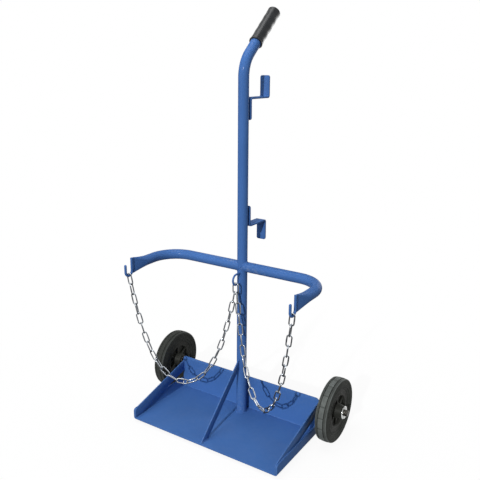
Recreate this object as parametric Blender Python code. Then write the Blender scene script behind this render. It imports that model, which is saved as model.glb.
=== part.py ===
"""Gas cylinder cart for two small cylinders: folded tray, mast, chain bar and two wheels.

Metres, +Z up, +X to the right seen from the front, +Y to the rear, the side with the wheels.
While it is modelled, y = 0 is the front face of the tray's rear wall and z = 0 its underside.
"""

import math

import bmesh
import bpy
from mathutils import Matrix, Vector

# Clearance left between pieces that touch on the real cart
GAP = 0.0003

# Folded tray
SHEET = 0.004
TRAY_HALF_WIDTH = 0.268
TRAY_DEPTH = 0.259
WALL_HEIGHT = 0.118
FLANGE_HEIGHT = 0.036
FOLD_RADIUS = 0.003
WALL_CORNER_RADIUS = 0.012
CORNER_RELIEF = 0.002
FOLD_OVERLAP = 0.006

# Pads that the tray's front stands on, level with the wheels
TRAY_CLEAR = 0.010
PAD_LENGTH = 0.060
PAD_DEPTH = 0.040
PAD_SETBACK = 0.030
PAD_INSET = 0.030

# Side straps and front brace, flat bar
STRAP_THICKNESS = 0.004
STRAP_WIDTH = 0.036
STRAP_DROP = 0.015
BRACE_THICKNESS = 0.004
BRACE_WIDTH = 0.025
BRACE_TOP = 0.200
BRACE_SETBACK = 0.003

# Round tube of the mast and of the two arms
TUBE_OD = 0.032
TUBE_WALL = 0.002
MAST_STANDOFF = 0.014
HANDLE_BEND_Z = 1.075
HANDLE_BEND_RADIUS = 0.090
HANDLE_LEAN = math.radians(48.5)
HANDLE_BARE = 0.043
SPACER_THICKNESS = 0.006
SPACER_HEIGHT = 0.080

# Handle grip
GRIP_LENGTH = 0.140
GRIP_OD = 0.039
GRIP_LIP = 0.0012
GRIP_CAP = 0.006
GRIP_END_LIP = 0.0042
GRIP_END_EDGE = 0.0015
GRIP_END_ROUND = 0.0036
GRIP_RINGS = 4

# Arms that stand round the cylinders
BAR_Z = 0.509
ARM_X = 0.287
ARM_REACH = 0.1837
ARM_BEND_RADIUS = 0.085
ARM_ROOT = 0.004
FLAT_TAPER = 0.058
FLAT_RUN = 0.004
FLAT_SLIT = 0.0006

# Hooks at the arms' ends and the eye on the mast, round bar
HOOK_ROD = 0.008
HOOK_BEND_RADIUS = 0.014
HOOK_DROP = 0.0403
HOOK_TIP = 0.024
EYE_ROD = 0.006
EYE_BEND_RADIUS = 0.0165
EYE_BELOW_BAR = 0.0345
EYE_REACH = 0.036

# Hose hooks on the back of the mast, flat bar
HOSE_BAR_WIDTH = 0.032
HOSE_BAR_THICKNESS = 0.005
HOSE_BEND_RADIUS = 0.006
HOSE_LEG = 0.062
UPPER_HOSE_ARM = 0.101
LOWER_HOSE_ARM = 0.092
HOSE_TAB = 0.064
HOSE_CORNER = 0.006
UPPER_HOSE_Z = 1.0165
LOWER_HOSE_Z = 0.6360

# Chain of welded links
WIRE = 0.004
LINK_WIDTH = 0.018
LINK_INNER = 0.0325
LINK_BITE = 0.0008
LINKS = 24
LINK_HANG = 0.0011
CENTRE_LINK_BACK = 0.0205
CENTRE_LINK_WIDTH = 0.024
CHAIN_SPREAD = 0.0042
CHAIN_SEAT_RISE = 0.0030

# Axle and wheels
WHEEL_OD = 0.200
TYRE_WIDTH = 0.038
TYRE_INNER_RADIUS = 0.066
TYRE_BEAD = 0.0060
TYRE_FACE_FOOT = 0.0078
TYRE_FACE_TOP = 0.0156
TYRE_BAND_LOW = 0.0132
TYRE_BAND_HIGH = 0.0078
TYRE_ROUND_IN = 0.0042
TYRE_ROUND_DROP = 0.0024
TYRE_CROWN_IN = 0.0096
TYRE_SIDE_STEP = 0.0015
WHEEL_CLEAR = 0.024
HUB_LENGTH = 0.062
HUB_RADIUS = 0.024
HUB_TAPER = 0.004
RIM_WIDTH = 0.030
RIM_THICKNESS = 0.016
WEB_THICKNESS = 0.008
RIB_COUNT = 6
RIB_THICKNESS = 0.006
RIB_WIDTH = 0.020
BUSH_WALL = 0.0035
AXLE_OD = 0.020
AXLE_SHOULDER_OD = 0.022
AXLE_TAIL = 0.0085
WASHER_THICKNESS = 0.003
WASHER_OD = 0.040
INNER_WASHER_OD = 0.030
PIN_WIRE = 0.0018
PIN_EYE_RADIUS = 0.0032
PIN_SPLAY = math.radians(35)
PIN_TAIL = 0.008
PIN_DROP = 0.002

# Facets
TUBE_SIDES = 20
ARM_SIDES = 16
ROD_SIDES = 10
WIRE_SIDES = 6
LINK_BEND_STEPS = 4
WHEEL_SIDES = 32
SMALL_SIDES = 20
PIN_SIDES = 6
PIN_STEPS = 10
PIN_BORE_SIDES = 10
FOLD_STEPS = 3
WALL_CORNER_STEPS = 5
HANDLE_STEPS = 7
ARM_STEPS = 6
HOOK_STEPS = 8
HOSE_STEPS = 4
HOSE_CORNER_SHARE = 0.3
FLAT_SHARES = (0.0, 0.3, 0.65, 1.0)
ROUND_END_SHARES = (0.5, 0.85)
SMOOTH_ANGLE = math.radians(40)

# Working values
EMPTY_SIZE = 0.03
MERGE_DISTANCE = 1e-6
SOLVE_ROUNDS = 60

# Places worked out from the sizes above
TUBE_R = TUBE_OD / 2
MAST_Y = -(MAST_STANDOFF + TUBE_R)
MAST_FRONT = MAST_Y - TUBE_R
MAST_BACK = MAST_Y + TUBE_R
FLOOR_TOP = SHEET
FLAT_HEIGHT = math.pi * TUBE_OD / 2
FLAT_THICKNESS = 2 * TUBE_WALL + FLAT_SLIT
ARM_END_Y = MAST_Y - ARM_REACH
SHANK_Y = ARM_END_Y - GAP - HOOK_ROD / 2
HOOK_CENTRE_Y = SHANK_Y - HOOK_BEND_RADIUS
HOOK_CENTRE_Z = BAR_Z + FLAT_HEIGHT / 2 - HOOK_DROP
EYE_Z = BAR_Z - EYE_BELOW_BAR
AXLE_R = AXLE_OD / 2
AXLE_Y = SHEET + GAP + AXLE_SHOULDER_OD / 2
AXLE_Z = WHEEL_OD / 2 - TRAY_CLEAR
WHEEL_X = TRAY_HALF_WIDTH + WHEEL_CLEAR + TYRE_WIDTH / 2
HUB_HALF = HUB_LENGTH / 2
SHOULDER_X = WHEEL_X - HUB_HALF - WASHER_THICKNESS - 2 * GAP
OUTER_WASHER_X = WHEEL_X + HUB_HALF + GAP
PIN_BORE_R = PIN_WIRE + 3 * GAP
PIN_X = OUTER_WASHER_X + WASHER_THICKNESS + PIN_BORE_R + GAP
AXLE_END = PIN_X + AXLE_TAIL
CENTRE_LINK_Y = MAST_FRONT - CENTRE_LINK_BACK
CENTRE_LINK_TOP = EYE_Z - EYE_BEND_RADIUS + EYE_ROD / 2 + LINK_HANG

# Colour, roughness and metallic value of each finish
PAINT_BLUE = ((0.045, 0.135, 0.420, 1.0), 0.32, 0.0)
GRIP_BLACK = ((0.018, 0.018, 0.020, 1.0), 0.55, 0.0)
TYRE_BLACK = ((0.030, 0.031, 0.030, 1.0), 0.75, 0.0)
CENTRE_BLACK = ((0.022, 0.022, 0.021, 1.0), 0.50, 0.0)
BUSH_BROWN = ((0.160, 0.110, 0.070, 1.0), 0.55, 0.0)
ZINC = ((0.620, 0.630, 0.640, 1.0), 0.30, 1.0)


def clear_scene():
    """Removes every object that the file came with."""
    for obj in list(bpy.data.objects):
        bpy.data.objects.remove(obj, do_unlink=True)


def collection(name):
    """Makes a collection under the scene's own."""
    made = bpy.data.collections.new(name)
    bpy.context.scene.collection.children.link(made)
    return made


def empty(name, home, parent=None, location=(0, 0, 0)):
    """Adds an empty to hang pieces on."""
    obj = bpy.data.objects.new(name, None)
    obj.empty_display_size = EMPTY_SIZE
    home.objects.link(obj)
    obj.parent = parent
    obj.location = location
    return obj


def finish(name, spec):
    """Makes one piece's own material."""
    colour, roughness, metallic = spec
    material = bpy.data.materials.new(name + "_finish")
    material.use_nodes = True
    shader = material.node_tree.nodes["Principled BSDF"]
    shader.inputs["Base Color"].default_value = colour
    shader.inputs["Roughness"].default_value = roughness
    shader.inputs["Metallic"].default_value = metallic
    material.diffuse_color = colour
    return material


def piece(name, mesh, spec, home, parent, smooth=True):
    """Puts a mesh in the scene as one named sub-part; its origin is moved to its parent's."""
    mesh.name = name
    origin = parent.matrix_world.translation if parent else Vector()
    mesh.transform(Matrix.Translation(-origin))
    for face in mesh.polygons:
        face.use_smooth = smooth
    if smooth:
        mesh.set_sharp_from_angle(angle=SMOOTH_ANGLE)
    mesh.materials.append(finish(name, spec))
    obj = bpy.data.objects.new(name, mesh)
    home.objects.link(obj)
    obj.parent = parent
    return obj


def to_mesh(bm, name):
    """Closes a bmesh into a mesh whose faces all look outwards."""
    bmesh.ops.recalc_face_normals(bm, faces=bm.faces)
    mesh = bpy.data.meshes.new(name)
    bm.to_mesh(mesh)
    bm.free()
    return mesh


def skin(bm, loops, closed):
    """Joins neighbouring loops of vertices with quads."""
    count = len(loops)
    last = count if closed else count - 1
    sides = len(loops[0])
    for i in range(last):
        here = loops[i]
        after = loops[(i + 1) % count]
        for j in range(sides):
            k = (j + 1) % sides
            bm.faces.new((here[j], here[k], after[k], after[j]))


def loft(name, rings, closed=False):
    """Solid through equal rings, with flat ends unless the run of rings is closed."""
    bm = bmesh.new()
    loops = [[bm.verts.new(p) for p in ring] for ring in rings]
    skin(bm, loops, closed)
    if not closed:
        bm.faces.new(loops[0])
        bm.faces.new(loops[-1])
    return to_mesh(bm, name)


def pipe(name, outer, inner, blind=False):
    """Tube through outer and inner rings; a blind tube is closed at its far end."""
    bm = bmesh.new()
    out = [[bm.verts.new(p) for p in ring] for ring in outer]
    bore = [[bm.verts.new(p) for p in ring] for ring in inner]
    skin(bm, out, False)
    skin(bm, bore, False)
    skin(bm, [out[0], bore[0]], False)
    if blind:
        bm.faces.new(out[-1])
        bm.faces.new(bore[-1])
    else:
        skin(bm, [out[-1], bore[-1]], False)
    return to_mesh(bm, name)


def prism(name, outline, axis, low, high):
    """Extrudes an outline along X (outline in y, z) or along Y (outline in x, z)."""
    def at(point, depth):
        u, v = point
        return Vector((depth, u, v)) if axis == "X" else Vector((u, depth, v))
    return loft(name, [[at(p, low) for p in outline], [at(p, high) for p in outline]])


def arc(centre, radius, start, end, steps):
    """Points of a plane arc, both ends included."""
    cu, cv = centre
    angles = [start + (end - start) * i / steps for i in range(steps + 1)]
    return [(cu + radius * math.cos(a), cv + radius * math.sin(a)) for a in angles]


def circle(radius, sides):
    """Points of a circle round the origin of a section plane."""
    return [(radius * math.cos(2 * math.pi * i / sides), radius * math.sin(2 * math.pi * i / sides))
            for i in range(sides)]


def tangents(path, closed=False):
    """Unit direction of a path at each of its points."""
    count = len(path)
    found = []
    for i in range(count):
        before = path[i - 1] if closed or i else path[0]
        after = path[(i + 1) % count] if closed or i < count - 1 else path[-1]
        found.append((after - before).normalized())
    return found


def sections(path, normal, outlines, closed=False):
    """Places one section outline on each point of a plane path; normal stands on that plane."""
    rings = []
    for point, ahead, outline in zip(path, tangents(path, closed), outlines):
        side = normal.cross(ahead)
        rings.append([point + side * u + normal * v for u, v in outline])
    return rings


def rod(name, path, normal, diameter, sides, round_end=False):
    """Round bar along a plane path; a rounded end narrows over its last points."""
    outlines = [circle(diameter / 2, sides) for _ in path]
    if round_end:
        tip = path[-1]
        ahead = (path[-1] - path[-2]).normalized()
        for share in ROUND_END_SHARES:
            path = path + [tip + ahead * (share * diameter / 2)]
            outlines.append(circle(diameter / 2 * math.sqrt(1 - share * share), sides))
    return loft(name, sections(path, normal, outlines))


def yz(points, x=0.0):
    """Stands plane points up at one x."""
    return [Vector((x, u, v)) for u, v in points]


def revolve(name, profile, sides, centre):
    """Turns a closed profile (along X, radius) once round the axle's direction."""
    cx, cy, cz = centre
    rings = []
    for i in range(sides):
        a = 2 * math.pi * i / sides
        rings.append([Vector((cx + u, cy + r * math.cos(a), cz + r * math.sin(a))) for u, r in profile])
    return loft(name, rings, closed=True)


def boolean(mesh, other, operation, cutters):
    """Joins, cuts or trims one mesh with another by the exact solver."""
    target = bpy.data.objects.new("target", mesh)
    tool = bpy.data.objects.new(mesh.name + "_cutter", other)
    cutters.objects.link(target)
    cutters.objects.link(tool)
    tool.hide_render = True
    tool.display_type = "WIRE"
    step = target.modifiers.new("exact", "BOOLEAN")
    step.operation = operation
    step.solver = "EXACT"
    step.object = tool
    view = bpy.context.evaluated_depsgraph_get()
    result = bpy.data.meshes.new_from_object(target.evaluated_get(view))
    bpy.data.objects.remove(target, do_unlink=True)
    bpy.data.objects.remove(tool, do_unlink=True)
    bm = bmesh.new()
    bm.from_mesh(result)
    bmesh.ops.remove_doubles(bm, verts=bm.verts, dist=MERGE_DISTANCE)
    return to_mesh(bm, mesh.name)


def joined(meshes, name):
    """Puts several meshes that do not touch into one mesh."""
    bm = bmesh.new()
    for mesh in meshes:
        bm.from_mesh(mesh)
    return to_mesh(bm, name)


def mirrored(mesh, name):
    """The same piece on the other side of the cart."""
    bm = bmesh.new()
    bm.from_mesh(mesh)
    bmesh.ops.scale(bm, vec=(-1, 1, 1), verts=bm.verts)
    return to_mesh(bm, name)


def tray_mesh(cutters):
    """Folded sheet: floor with side flanges, and a rear wall with rounded top corners."""
    half = TRAY_HALF_WIDTH
    outer = FOLD_RADIUS + SHEET
    quarter = math.pi / 2
    right = arc((half - outer, outer), outer, -quarter, 0, FOLD_STEPS)
    right += [(half, FLANGE_HEIGHT), (half - SHEET, FLANGE_HEIGHT)]
    right += arc((half - outer, outer), FOLD_RADIUS, 0, -quarter, FOLD_STEPS)
    left = [(-x, z) for x, z in reversed(right)]
    floor = prism("tray", right + left, "Y", -TRAY_DEPTH, -CORNER_RELIEF)
    fold = [(-outer - FOLD_OVERLAP, 0)]
    fold += arc((SHEET - outer, outer), outer, -quarter, 0, FOLD_STEPS)
    fold += [(SHEET, WALL_HEIGHT), (0, WALL_HEIGHT)]
    fold += arc((SHEET - outer, outer), FOLD_RADIUS, 0, -quarter, FOLD_STEPS)
    fold += [(-outer - FOLD_OVERLAP, SHEET)]
    wall = prism("tray", fold, "X", -half, half)
    corner = WALL_CORNER_RADIUS
    outline = arc((half - outer, outer), outer, -quarter, 0, FOLD_STEPS)
    outline += arc((half - corner, WALL_HEIGHT - corner), corner, 0, quarter, WALL_CORNER_STEPS)
    outline += [(-x, z) for x, z in reversed(outline)]
    trim = prism("tray_trim", outline, "Y", -2 * outer - FOLD_OVERLAP, 2 * SHEET)
    wall = boolean(wall, trim, "INTERSECT", cutters)
    return boolean(floor, wall, "UNION", cutters)


def strap_mesh():
    """Right side strap, inside the flange, from its front end up to the rear wall."""
    front = -TRAY_DEPTH + GAP
    rear = -GAP
    top_front = FLANGE_HEIGHT
    top_rear = WALL_HEIGHT - STRAP_DROP
    slope = (top_rear - top_front) / (rear - front)
    tall = STRAP_WIDTH * math.hypot(1, slope)
    bottom = FLOOR_TOP + FOLD_RADIUS + GAP
    low_y = front + (bottom - (top_front - tall)) / slope
    outline = [(front, bottom), (low_y, bottom), (rear, top_rear - tall), (rear, top_rear),
               (front, top_front)]
    outside = TRAY_HALF_WIDTH - SHEET - GAP
    return prism("right_side_strap", outline, "X", outside - STRAP_THICKNESS, outside)


def pad_mesh():
    """Right pad, a short thick flat bar under the floor."""
    front = -TRAY_DEPTH + PAD_SETBACK
    outline = [(front, -TRAY_CLEAR), (front + PAD_DEPTH, -TRAY_CLEAR), (front + PAD_DEPTH, -GAP),
               (front, -GAP)]
    outside = TRAY_HALF_WIDTH - PAD_INSET
    return prism("right_floor_pad", outline, "X", outside - PAD_LENGTH, outside)


def brace_mesh():
    """Flat bar on edge from the mast's front down to the floor."""
    top_y = MAST_FRONT - GAP
    foot_y = -TRAY_DEPTH + BRACE_SETBACK
    foot_z = FLOOR_TOP + GAP
    lean = math.atan2(BRACE_TOP - foot_z, top_y - foot_y)
    outline = [(foot_y, foot_z), (foot_y + BRACE_WIDTH / math.sin(lean), foot_z),
               (top_y, BRACE_TOP - BRACE_WIDTH / math.cos(lean)), (top_y, BRACE_TOP)]
    return prism("front_brace", outline, "X", -BRACE_THICKNESS / 2, BRACE_THICKNESS / 2)


def handle_frame():
    """End of the handle's bend and the direction of the straight above it."""
    end = Vector((0, MAST_Y + HANDLE_BEND_RADIUS * (1 - math.cos(HANDLE_LEAN)),
                  HANDLE_BEND_Z + HANDLE_BEND_RADIUS * math.sin(HANDLE_LEAN)))
    return end, Vector((0, math.sin(HANDLE_LEAN), math.cos(HANDLE_LEAN)))


def mast_mesh():
    """Upright tube with the handle bent back at its top, open at both ends."""
    bend = arc((MAST_Y + HANDLE_BEND_RADIUS, HANDLE_BEND_Z), HANDLE_BEND_RADIUS, math.pi,
               math.pi - HANDLE_LEAN, HANDLE_STEPS)
    end, ahead = handle_frame()
    path = [Vector((0, MAST_Y, FLOOR_TOP + GAP))] + yz(bend)
    path.append(end + ahead * (HANDLE_BARE + GRIP_LENGTH - GRIP_CAP - GAP))
    across = Vector((1, 0, 0))
    outer = sections(path, across, [circle(TUBE_R, TUBE_SIDES)] * len(path))
    inner = sections(path, across, [circle(TUBE_R - TUBE_WALL, TUBE_SIDES)] * len(path))
    return pipe("mast_tube", outer, inner)


def spacer_mesh():
    """Web between the mast's foot and the rear wall."""
    low_y = MAST_BACK + GAP
    outline = [(low_y, FLOOR_TOP + FOLD_RADIUS + GAP), (-GAP, FLOOR_TOP + FOLD_RADIUS + GAP),
               (-GAP, FLOOR_TOP + SPACER_HEIGHT), (low_y, FLOOR_TOP + SPACER_HEIGHT)]
    return prism("mast_spacer", outline, "X", -SPACER_THICKNESS / 2, SPACER_THICKNESS / 2)


def grip_mesh():
    """Sleeve with a closed, rounded end, shallow finger rings and a lip."""
    bore = TUBE_R + GAP
    radius = GRIP_OD / 2
    start, ahead = handle_frame()
    start = start + ahead * HANDLE_BARE
    step = (GRIP_LENGTH - 2 * GRIP_CAP) / GRIP_RINGS
    stations = [(0, radius + GRIP_LIP), (GRIP_CAP / 2, radius + GRIP_LIP),
                (GRIP_CAP, radius - GRIP_LIP / 2)]
    for i in range(GRIP_RINGS):
        stations.append((GRIP_CAP + step * (i + 0.5), radius))
        stations.append((GRIP_CAP + step * (i + 1), radius - GRIP_LIP / 2))
    stations.append((GRIP_LENGTH - GRIP_END_LIP, radius + GRIP_LIP / 2))
    stations.append((GRIP_LENGTH - GRIP_END_EDGE, radius - GRIP_LIP / 2))
    stations.append((GRIP_LENGTH, radius - GRIP_END_ROUND))
    across = Vector((1, 0, 0))
    outer = [sections([start, start + ahead], across, [circle(r, TUBE_SIDES)] * 2)[0] for _, r in stations]
    outer = [[p + ahead * s for p in ring] for ring, (s, _) in zip(outer, stations)]
    base = sections([start, start + ahead], across, [circle(bore, TUBE_SIDES)] * 2)[0]
    inner = [base, [p + ahead * (GRIP_LENGTH - GRIP_CAP) for p in base]]
    return pipe("handle_grip", outer, inner, blind=True)


def slot(half_thick, half_tall, sides):
    """Rounded section between a circle and a flattened tube, with as many points as a circle."""
    outline = []
    for i in range(sides):
        a = 2 * math.pi * i / sides
        straight = half_tall - half_thick
        if i % (sides // 2) == 0:
            lift = 0
        else:
            lift = straight if i < sides // 2 else -straight
        outline.append((half_thick * math.cos(a), half_thick * math.sin(a) + lift))
    return outline


def arm_mesh(cutters):
    """Right arm: tube out from the mast, bent forward, its end flattened upright, coped on the mast."""
    quarter = math.pi / 2
    plan = [(ARM_ROOT, MAST_Y)]
    plan += arc((ARM_X - ARM_BEND_RADIUS, MAST_Y - ARM_BEND_RADIUS), ARM_BEND_RADIUS, quarter, 0, ARM_STEPS)
    taper_y = ARM_END_Y + FLAT_RUN + FLAT_TAPER
    plan += [(ARM_X, taper_y - FLAT_TAPER * s) for s in FLAT_SHARES]
    plan.append((ARM_X, ARM_END_Y))
    path = [Vector((x, y, BAR_Z)) for x, y in plan]
    round_count = len(path) - len(FLAT_SHARES) - 1
    outs = [circle(TUBE_R, ARM_SIDES)] * round_count
    ins = [circle(TUBE_R - TUBE_WALL, ARM_SIDES)] * round_count
    for share in FLAT_SHARES + FLAT_SHARES[-1:]:
        blend = share * (1 + share) / 2
        thick = TUBE_R + (FLAT_THICKNESS / 2 - TUBE_R) * blend
        tall = TUBE_R + (FLAT_HEIGHT / 2 - TUBE_R) * blend
        outs.append(slot(thick, tall, ARM_SIDES))
        ins.append(slot(thick - TUBE_WALL, tall - TUBE_WALL, ARM_SIDES))
    up = Vector((0, 0, 1))
    tube = pipe("right_cylinder_arm", sections(path, up, outs), sections(path, up, ins)[:-1], blind=True)
    low = BAR_Z - TUBE_OD
    high = BAR_Z + TUBE_OD
    ring = [(x, MAST_Y + y) for x, y in circle(TUBE_R + GAP, 2 * TUBE_SIDES)]
    cutter = loft("cope", [[Vector((x, y, z)) for x, y in ring] for z in (low, high)])
    return boolean(tube, cutter, "DIFFERENCE", cutters)


def chain_hook_mesh():
    """Right hook: shank down the arm's end, round under and up again in front."""
    bend = arc((HOOK_CENTRE_Y, HOOK_CENTRE_Z), HOOK_BEND_RADIUS, 0, -math.pi, HOOK_STEPS)
    points = [(SHANK_Y, BAR_Z + FLAT_HEIGHT / 2)] + bend
    points.append((HOOK_CENTRE_Y - HOOK_BEND_RADIUS, HOOK_CENTRE_Z + HOOK_TIP - HOOK_ROD / 2))
    path = yz(points, ARM_X)
    return rod("right_chain_hook", path, Vector((1, 0, 0)), HOOK_ROD, ROD_SIDES, round_end=True)


def eye_mesh():
    """Bent rod on the mast's front, both legs on the mast."""
    quarter = math.pi / 2
    root = MAST_FRONT - GAP
    centre_y = MAST_FRONT - EYE_REACH + EYE_BEND_RADIUS
    points = [(root, EYE_Z + EYE_BEND_RADIUS)]
    points += arc((centre_y, EYE_Z), EYE_BEND_RADIUS, quarter, 3 * quarter, HOOK_STEPS)
    points.append((root, EYE_Z - EYE_BEND_RADIUS))
    return rod("mast_chain_eye", yz(points), Vector((1, 0, 0)), EYE_ROD, ROD_SIDES)


def hose_hook_mesh(name, level, arm, up):
    """Flat bar Z: leg along the mast's back, arm to the rear, tab the other way; up is the tab's way."""
    radius = HOSE_BEND_RADIUS
    leg_y = MAST_BACK + GAP + HOSE_BAR_THICKNESS / 2
    tab_y = leg_y + arm
    quarter = math.pi / 2
    corner = HOSE_CORNER
    part_way = corner * HOSE_CORNER_SHARE
    points = [(leg_y, -HOSE_LEG), (leg_y, -HOSE_LEG + part_way), (leg_y, -HOSE_LEG + corner)]
    points += arc((leg_y + radius, -radius), radius, 2 * quarter, quarter, HOSE_STEPS)
    points += arc((tab_y - radius, radius), radius, -quarter, 0, HOSE_STEPS)
    points += [(tab_y, HOSE_TAB - corner), (tab_y, HOSE_TAB - part_way), (tab_y, HOSE_TAB)]
    path = yz([(y, level + up * z) for y, z in points])
    half = HOSE_BAR_WIDTH / 2
    widths = [half] * len(path)
    for near, far in ((0, -1), (1, -2)):
        inset = corner * (1 - math.sqrt(1 - (1 - HOSE_CORNER_SHARE * near) ** 2))
        widths[near] = half - inset
        widths[far] = half - inset
    thick = HOSE_BAR_THICKNESS / 2
    outlines = [[(-thick, -w), (thick, -w), (thick, w), (-thick, w)] for w in widths]
    return loft(name, sections(path, Vector((1, 0, 0)), outlines))


def link_mesh(name, start, ahead, across, width, steps):
    """One welded link whose inside runs from start along ahead; across is its width's direction."""
    bend = (width - WIRE) / 2
    reach = LINK_INNER - 2 * (bend - WIRE / 2)
    first = bend - WIRE / 2
    quarter = math.pi / 2
    plane = arc((first + reach, 0), bend, -quarter, quarter, steps)
    plane += arc((first, 0), bend, quarter, 3 * quarter, steps)
    path = [start + ahead * u + across * v for u, v in plane]
    normal = ahead.cross(across)
    outline = circle(WIRE / 2, WIRE_SIDES)
    return loft(name, sections(path, normal, [outline] * len(path), closed=True), closed=True)


def hanging_points(start, end, count, length):
    """Joints of a chain of equal stiff lengths at rest between two points."""
    span = math.hypot(end.x - start.x, end.y - start.y)
    rise = end.z - start.z
    pull = span / (2 * length)
    first = -count / 2
    for _ in range(SOLVE_ROUNDS):
        run = 0.0
        climb = 0.0
        run_pull = run_first = climb_pull = climb_first = 0.0
        for i in range(count):
            load = first + i
            size = math.hypot(pull, load)
            run += length * pull / size
            climb += length * load / size
            run_pull += length * load * load / size ** 3
            run_first -= length * pull * load / size ** 3
            climb_pull -= length * pull * load / size ** 3
            climb_first += length * pull * pull / size ** 3
        miss_run = span - run
        miss_climb = rise - climb
        scale = run_pull * climb_first - run_first * climb_pull
        step_pull = (miss_run * climb_first - run_first * miss_climb) / scale
        step_first = (run_pull * miss_climb - climb_pull * miss_run) / scale
        damp = pull / max(pull, 3 * abs(step_pull))
        pull += damp * step_pull
        first += damp * step_first
    heading = Vector(((end.x - start.x) / span, (end.y - start.y) / span, 0))
    points = [start]
    for i in range(count):
        load = first + i
        size = math.hypot(pull, load)
        points.append(points[-1] + (heading * pull + Vector((0, 0, load))) * (length / size))
    return points


def chain_ends():
    """Where the left chain hangs: inside the left hook and on the centre link."""
    hook = Vector((-ARM_X, HOOK_CENTRE_Y, HOOK_CENTRE_Z - HOOK_BEND_RADIUS + HOOK_ROD / 2 + LINK_HANG))
    low = CENTRE_LINK_TOP - LINK_INNER + CHAIN_SEAT_RISE + LINK_HANG
    return hook, Vector((-CHAIN_SPREAD, CENTRE_LINK_Y, low))


def chain_mesh(cutters):
    """Left chain: links set by turns, each bedded a little into the next, as one solid."""
    hook, eye = chain_ends()
    points = hanging_points(hook, eye, LINKS, LINK_INNER + LINK_BITE)
    heading = Vector((eye.x - hook.x, eye.y - hook.y, 0)).normalized()
    level = Vector((-heading.y, heading.x, 0))
    turn = math.atan2(heading.y, heading.x)
    runs = ([], [])
    for i in range(LINKS):
        ahead = (points[i + 1] - points[i]).normalized()
        steep = ahead.cross(level)
        roll = (i % 2) * math.pi / 2 + turn * ahead.z * abs(ahead.z)
        across = steep * math.cos(roll) + level * math.sin(roll)
        runs[i % 2].append(link_mesh("link", points[i], ahead, across, LINK_WIDTH, LINK_BEND_STEPS))
    return boolean(joined(runs[0], "left_chain"), joined(runs[1], "left_chain_turned"), "UNION", cutters)


def centre_link_mesh():
    """Wider link that hangs in the mast's eye; both chains hang on it."""
    return link_mesh("chain_centre_link", Vector((0, CENTRE_LINK_Y, CENTRE_LINK_TOP)), Vector((0, 0, -1)),
                     Vector((1, 0, 0)), CENTRE_LINK_WIDTH, 2 * LINK_BEND_STEPS)


def axle_mesh(cutters):
    """Round bar with turned-down ends and a cross hole for a split pin near each end."""
    stations = [(-AXLE_END, AXLE_R), (-SHOULDER_X, AXLE_R), (-SHOULDER_X, AXLE_SHOULDER_OD / 2),
                (SHOULDER_X, AXLE_SHOULDER_OD / 2), (SHOULDER_X, AXLE_R), (AXLE_END, AXLE_R)]
    rings = []
    for x, r in stations:
        rings.append([Vector((x, AXLE_Y + u, AXLE_Z + v)) for u, v in circle(r, SMALL_SIDES)])
    bar = loft("axle", rings)
    bores = []
    for side in (-1, 1):
        ring = [(side * PIN_X + u, AXLE_Y + v) for u, v in circle(PIN_BORE_R, PIN_BORE_SIDES)]
        ends = [[Vector((x, y, AXLE_Z + z)) for x, y in ring] for z in (-AXLE_OD, AXLE_OD)]
        bores.append(loft("bore", ends))
    return boolean(bar, joined(bores, "bores"), "DIFFERENCE", cutters)


def wheel_centre():
    """Middle of the right wheel."""
    return (WHEEL_X, AXLE_Y, AXLE_Z)


def mirror_profile(half):
    """Closes a profile given for one side of a wheel, inside to outside, with its other side."""
    return half + [(-u, r) for u, r in reversed(half)]


def tyre_mesh():
    """Solid tyre with rounded shoulders and a stepped sidewall."""
    radius = WHEEL_OD / 2
    side = TYRE_WIDTH / 2
    half = [(RIM_WIDTH / 2, TYRE_INNER_RADIUS), (side - TYRE_SIDE_STEP, TYRE_INNER_RADIUS + TYRE_BEAD),
            (side, TYRE_INNER_RADIUS + TYRE_FACE_FOOT), (side, radius - TYRE_FACE_TOP),
            (side - TYRE_SIDE_STEP, radius - TYRE_BAND_LOW),
            (side - TYRE_SIDE_STEP, radius - TYRE_BAND_HIGH),
            (side - TYRE_ROUND_IN, radius - TYRE_ROUND_DROP), (side - TYRE_CROWN_IN, radius)]
    return revolve("right_tyre", mirror_profile(half), WHEEL_SIDES, wheel_centre())


def rim_mesh(cutters):
    """Moulded wheel centre: hub, web with ribs, and the rim that the tyre sits on."""
    bore = AXLE_R + BUSH_WALL + 2 * GAP
    outer = TYRE_INNER_RADIUS - GAP
    inner = outer - RIM_THICKNESS
    half = [(HUB_HALF, bore), (HUB_HALF, HUB_RADIUS - HUB_TAPER), (WEB_THICKNESS / 2, HUB_RADIUS),
            (WEB_THICKNESS / 2, inner - HUB_TAPER), (RIM_WIDTH / 2, inner), (RIM_WIDTH / 2, outer)]
    body = revolve("right_wheel_centre", mirror_profile(half), WHEEL_SIDES, wheel_centre())
    ribs = []
    low = HUB_RADIUS - HUB_TAPER
    high = inner + RIM_THICKNESS / 2
    for i in range(RIB_COUNT):
        turn = Matrix.Rotation(2 * math.pi * i / RIB_COUNT, 4, "X")
        outline = [(-RIB_THICKNESS / 2, low), (RIB_THICKNESS / 2, low), (RIB_THICKNESS / 2, high),
                   (-RIB_THICKNESS / 2, high)]
        rib = prism("rib", outline, "X", -RIB_WIDTH / 2, RIB_WIDTH / 2)
        rib.transform(Matrix.Translation(wheel_centre()) @ turn)
        ribs.append(rib)
    return boolean(body, joined(ribs, "ribs"), "UNION", cutters)


def sleeve_mesh(name, x_low, length, inner, outer):
    """Plain ring round the axle, used for bushes and washers."""
    profile = [(0, inner), (length, inner), (length, outer), (0, outer)]
    return revolve(name, profile, SMALL_SIDES, (x_low, AXLE_Y, AXLE_Z))


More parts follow.
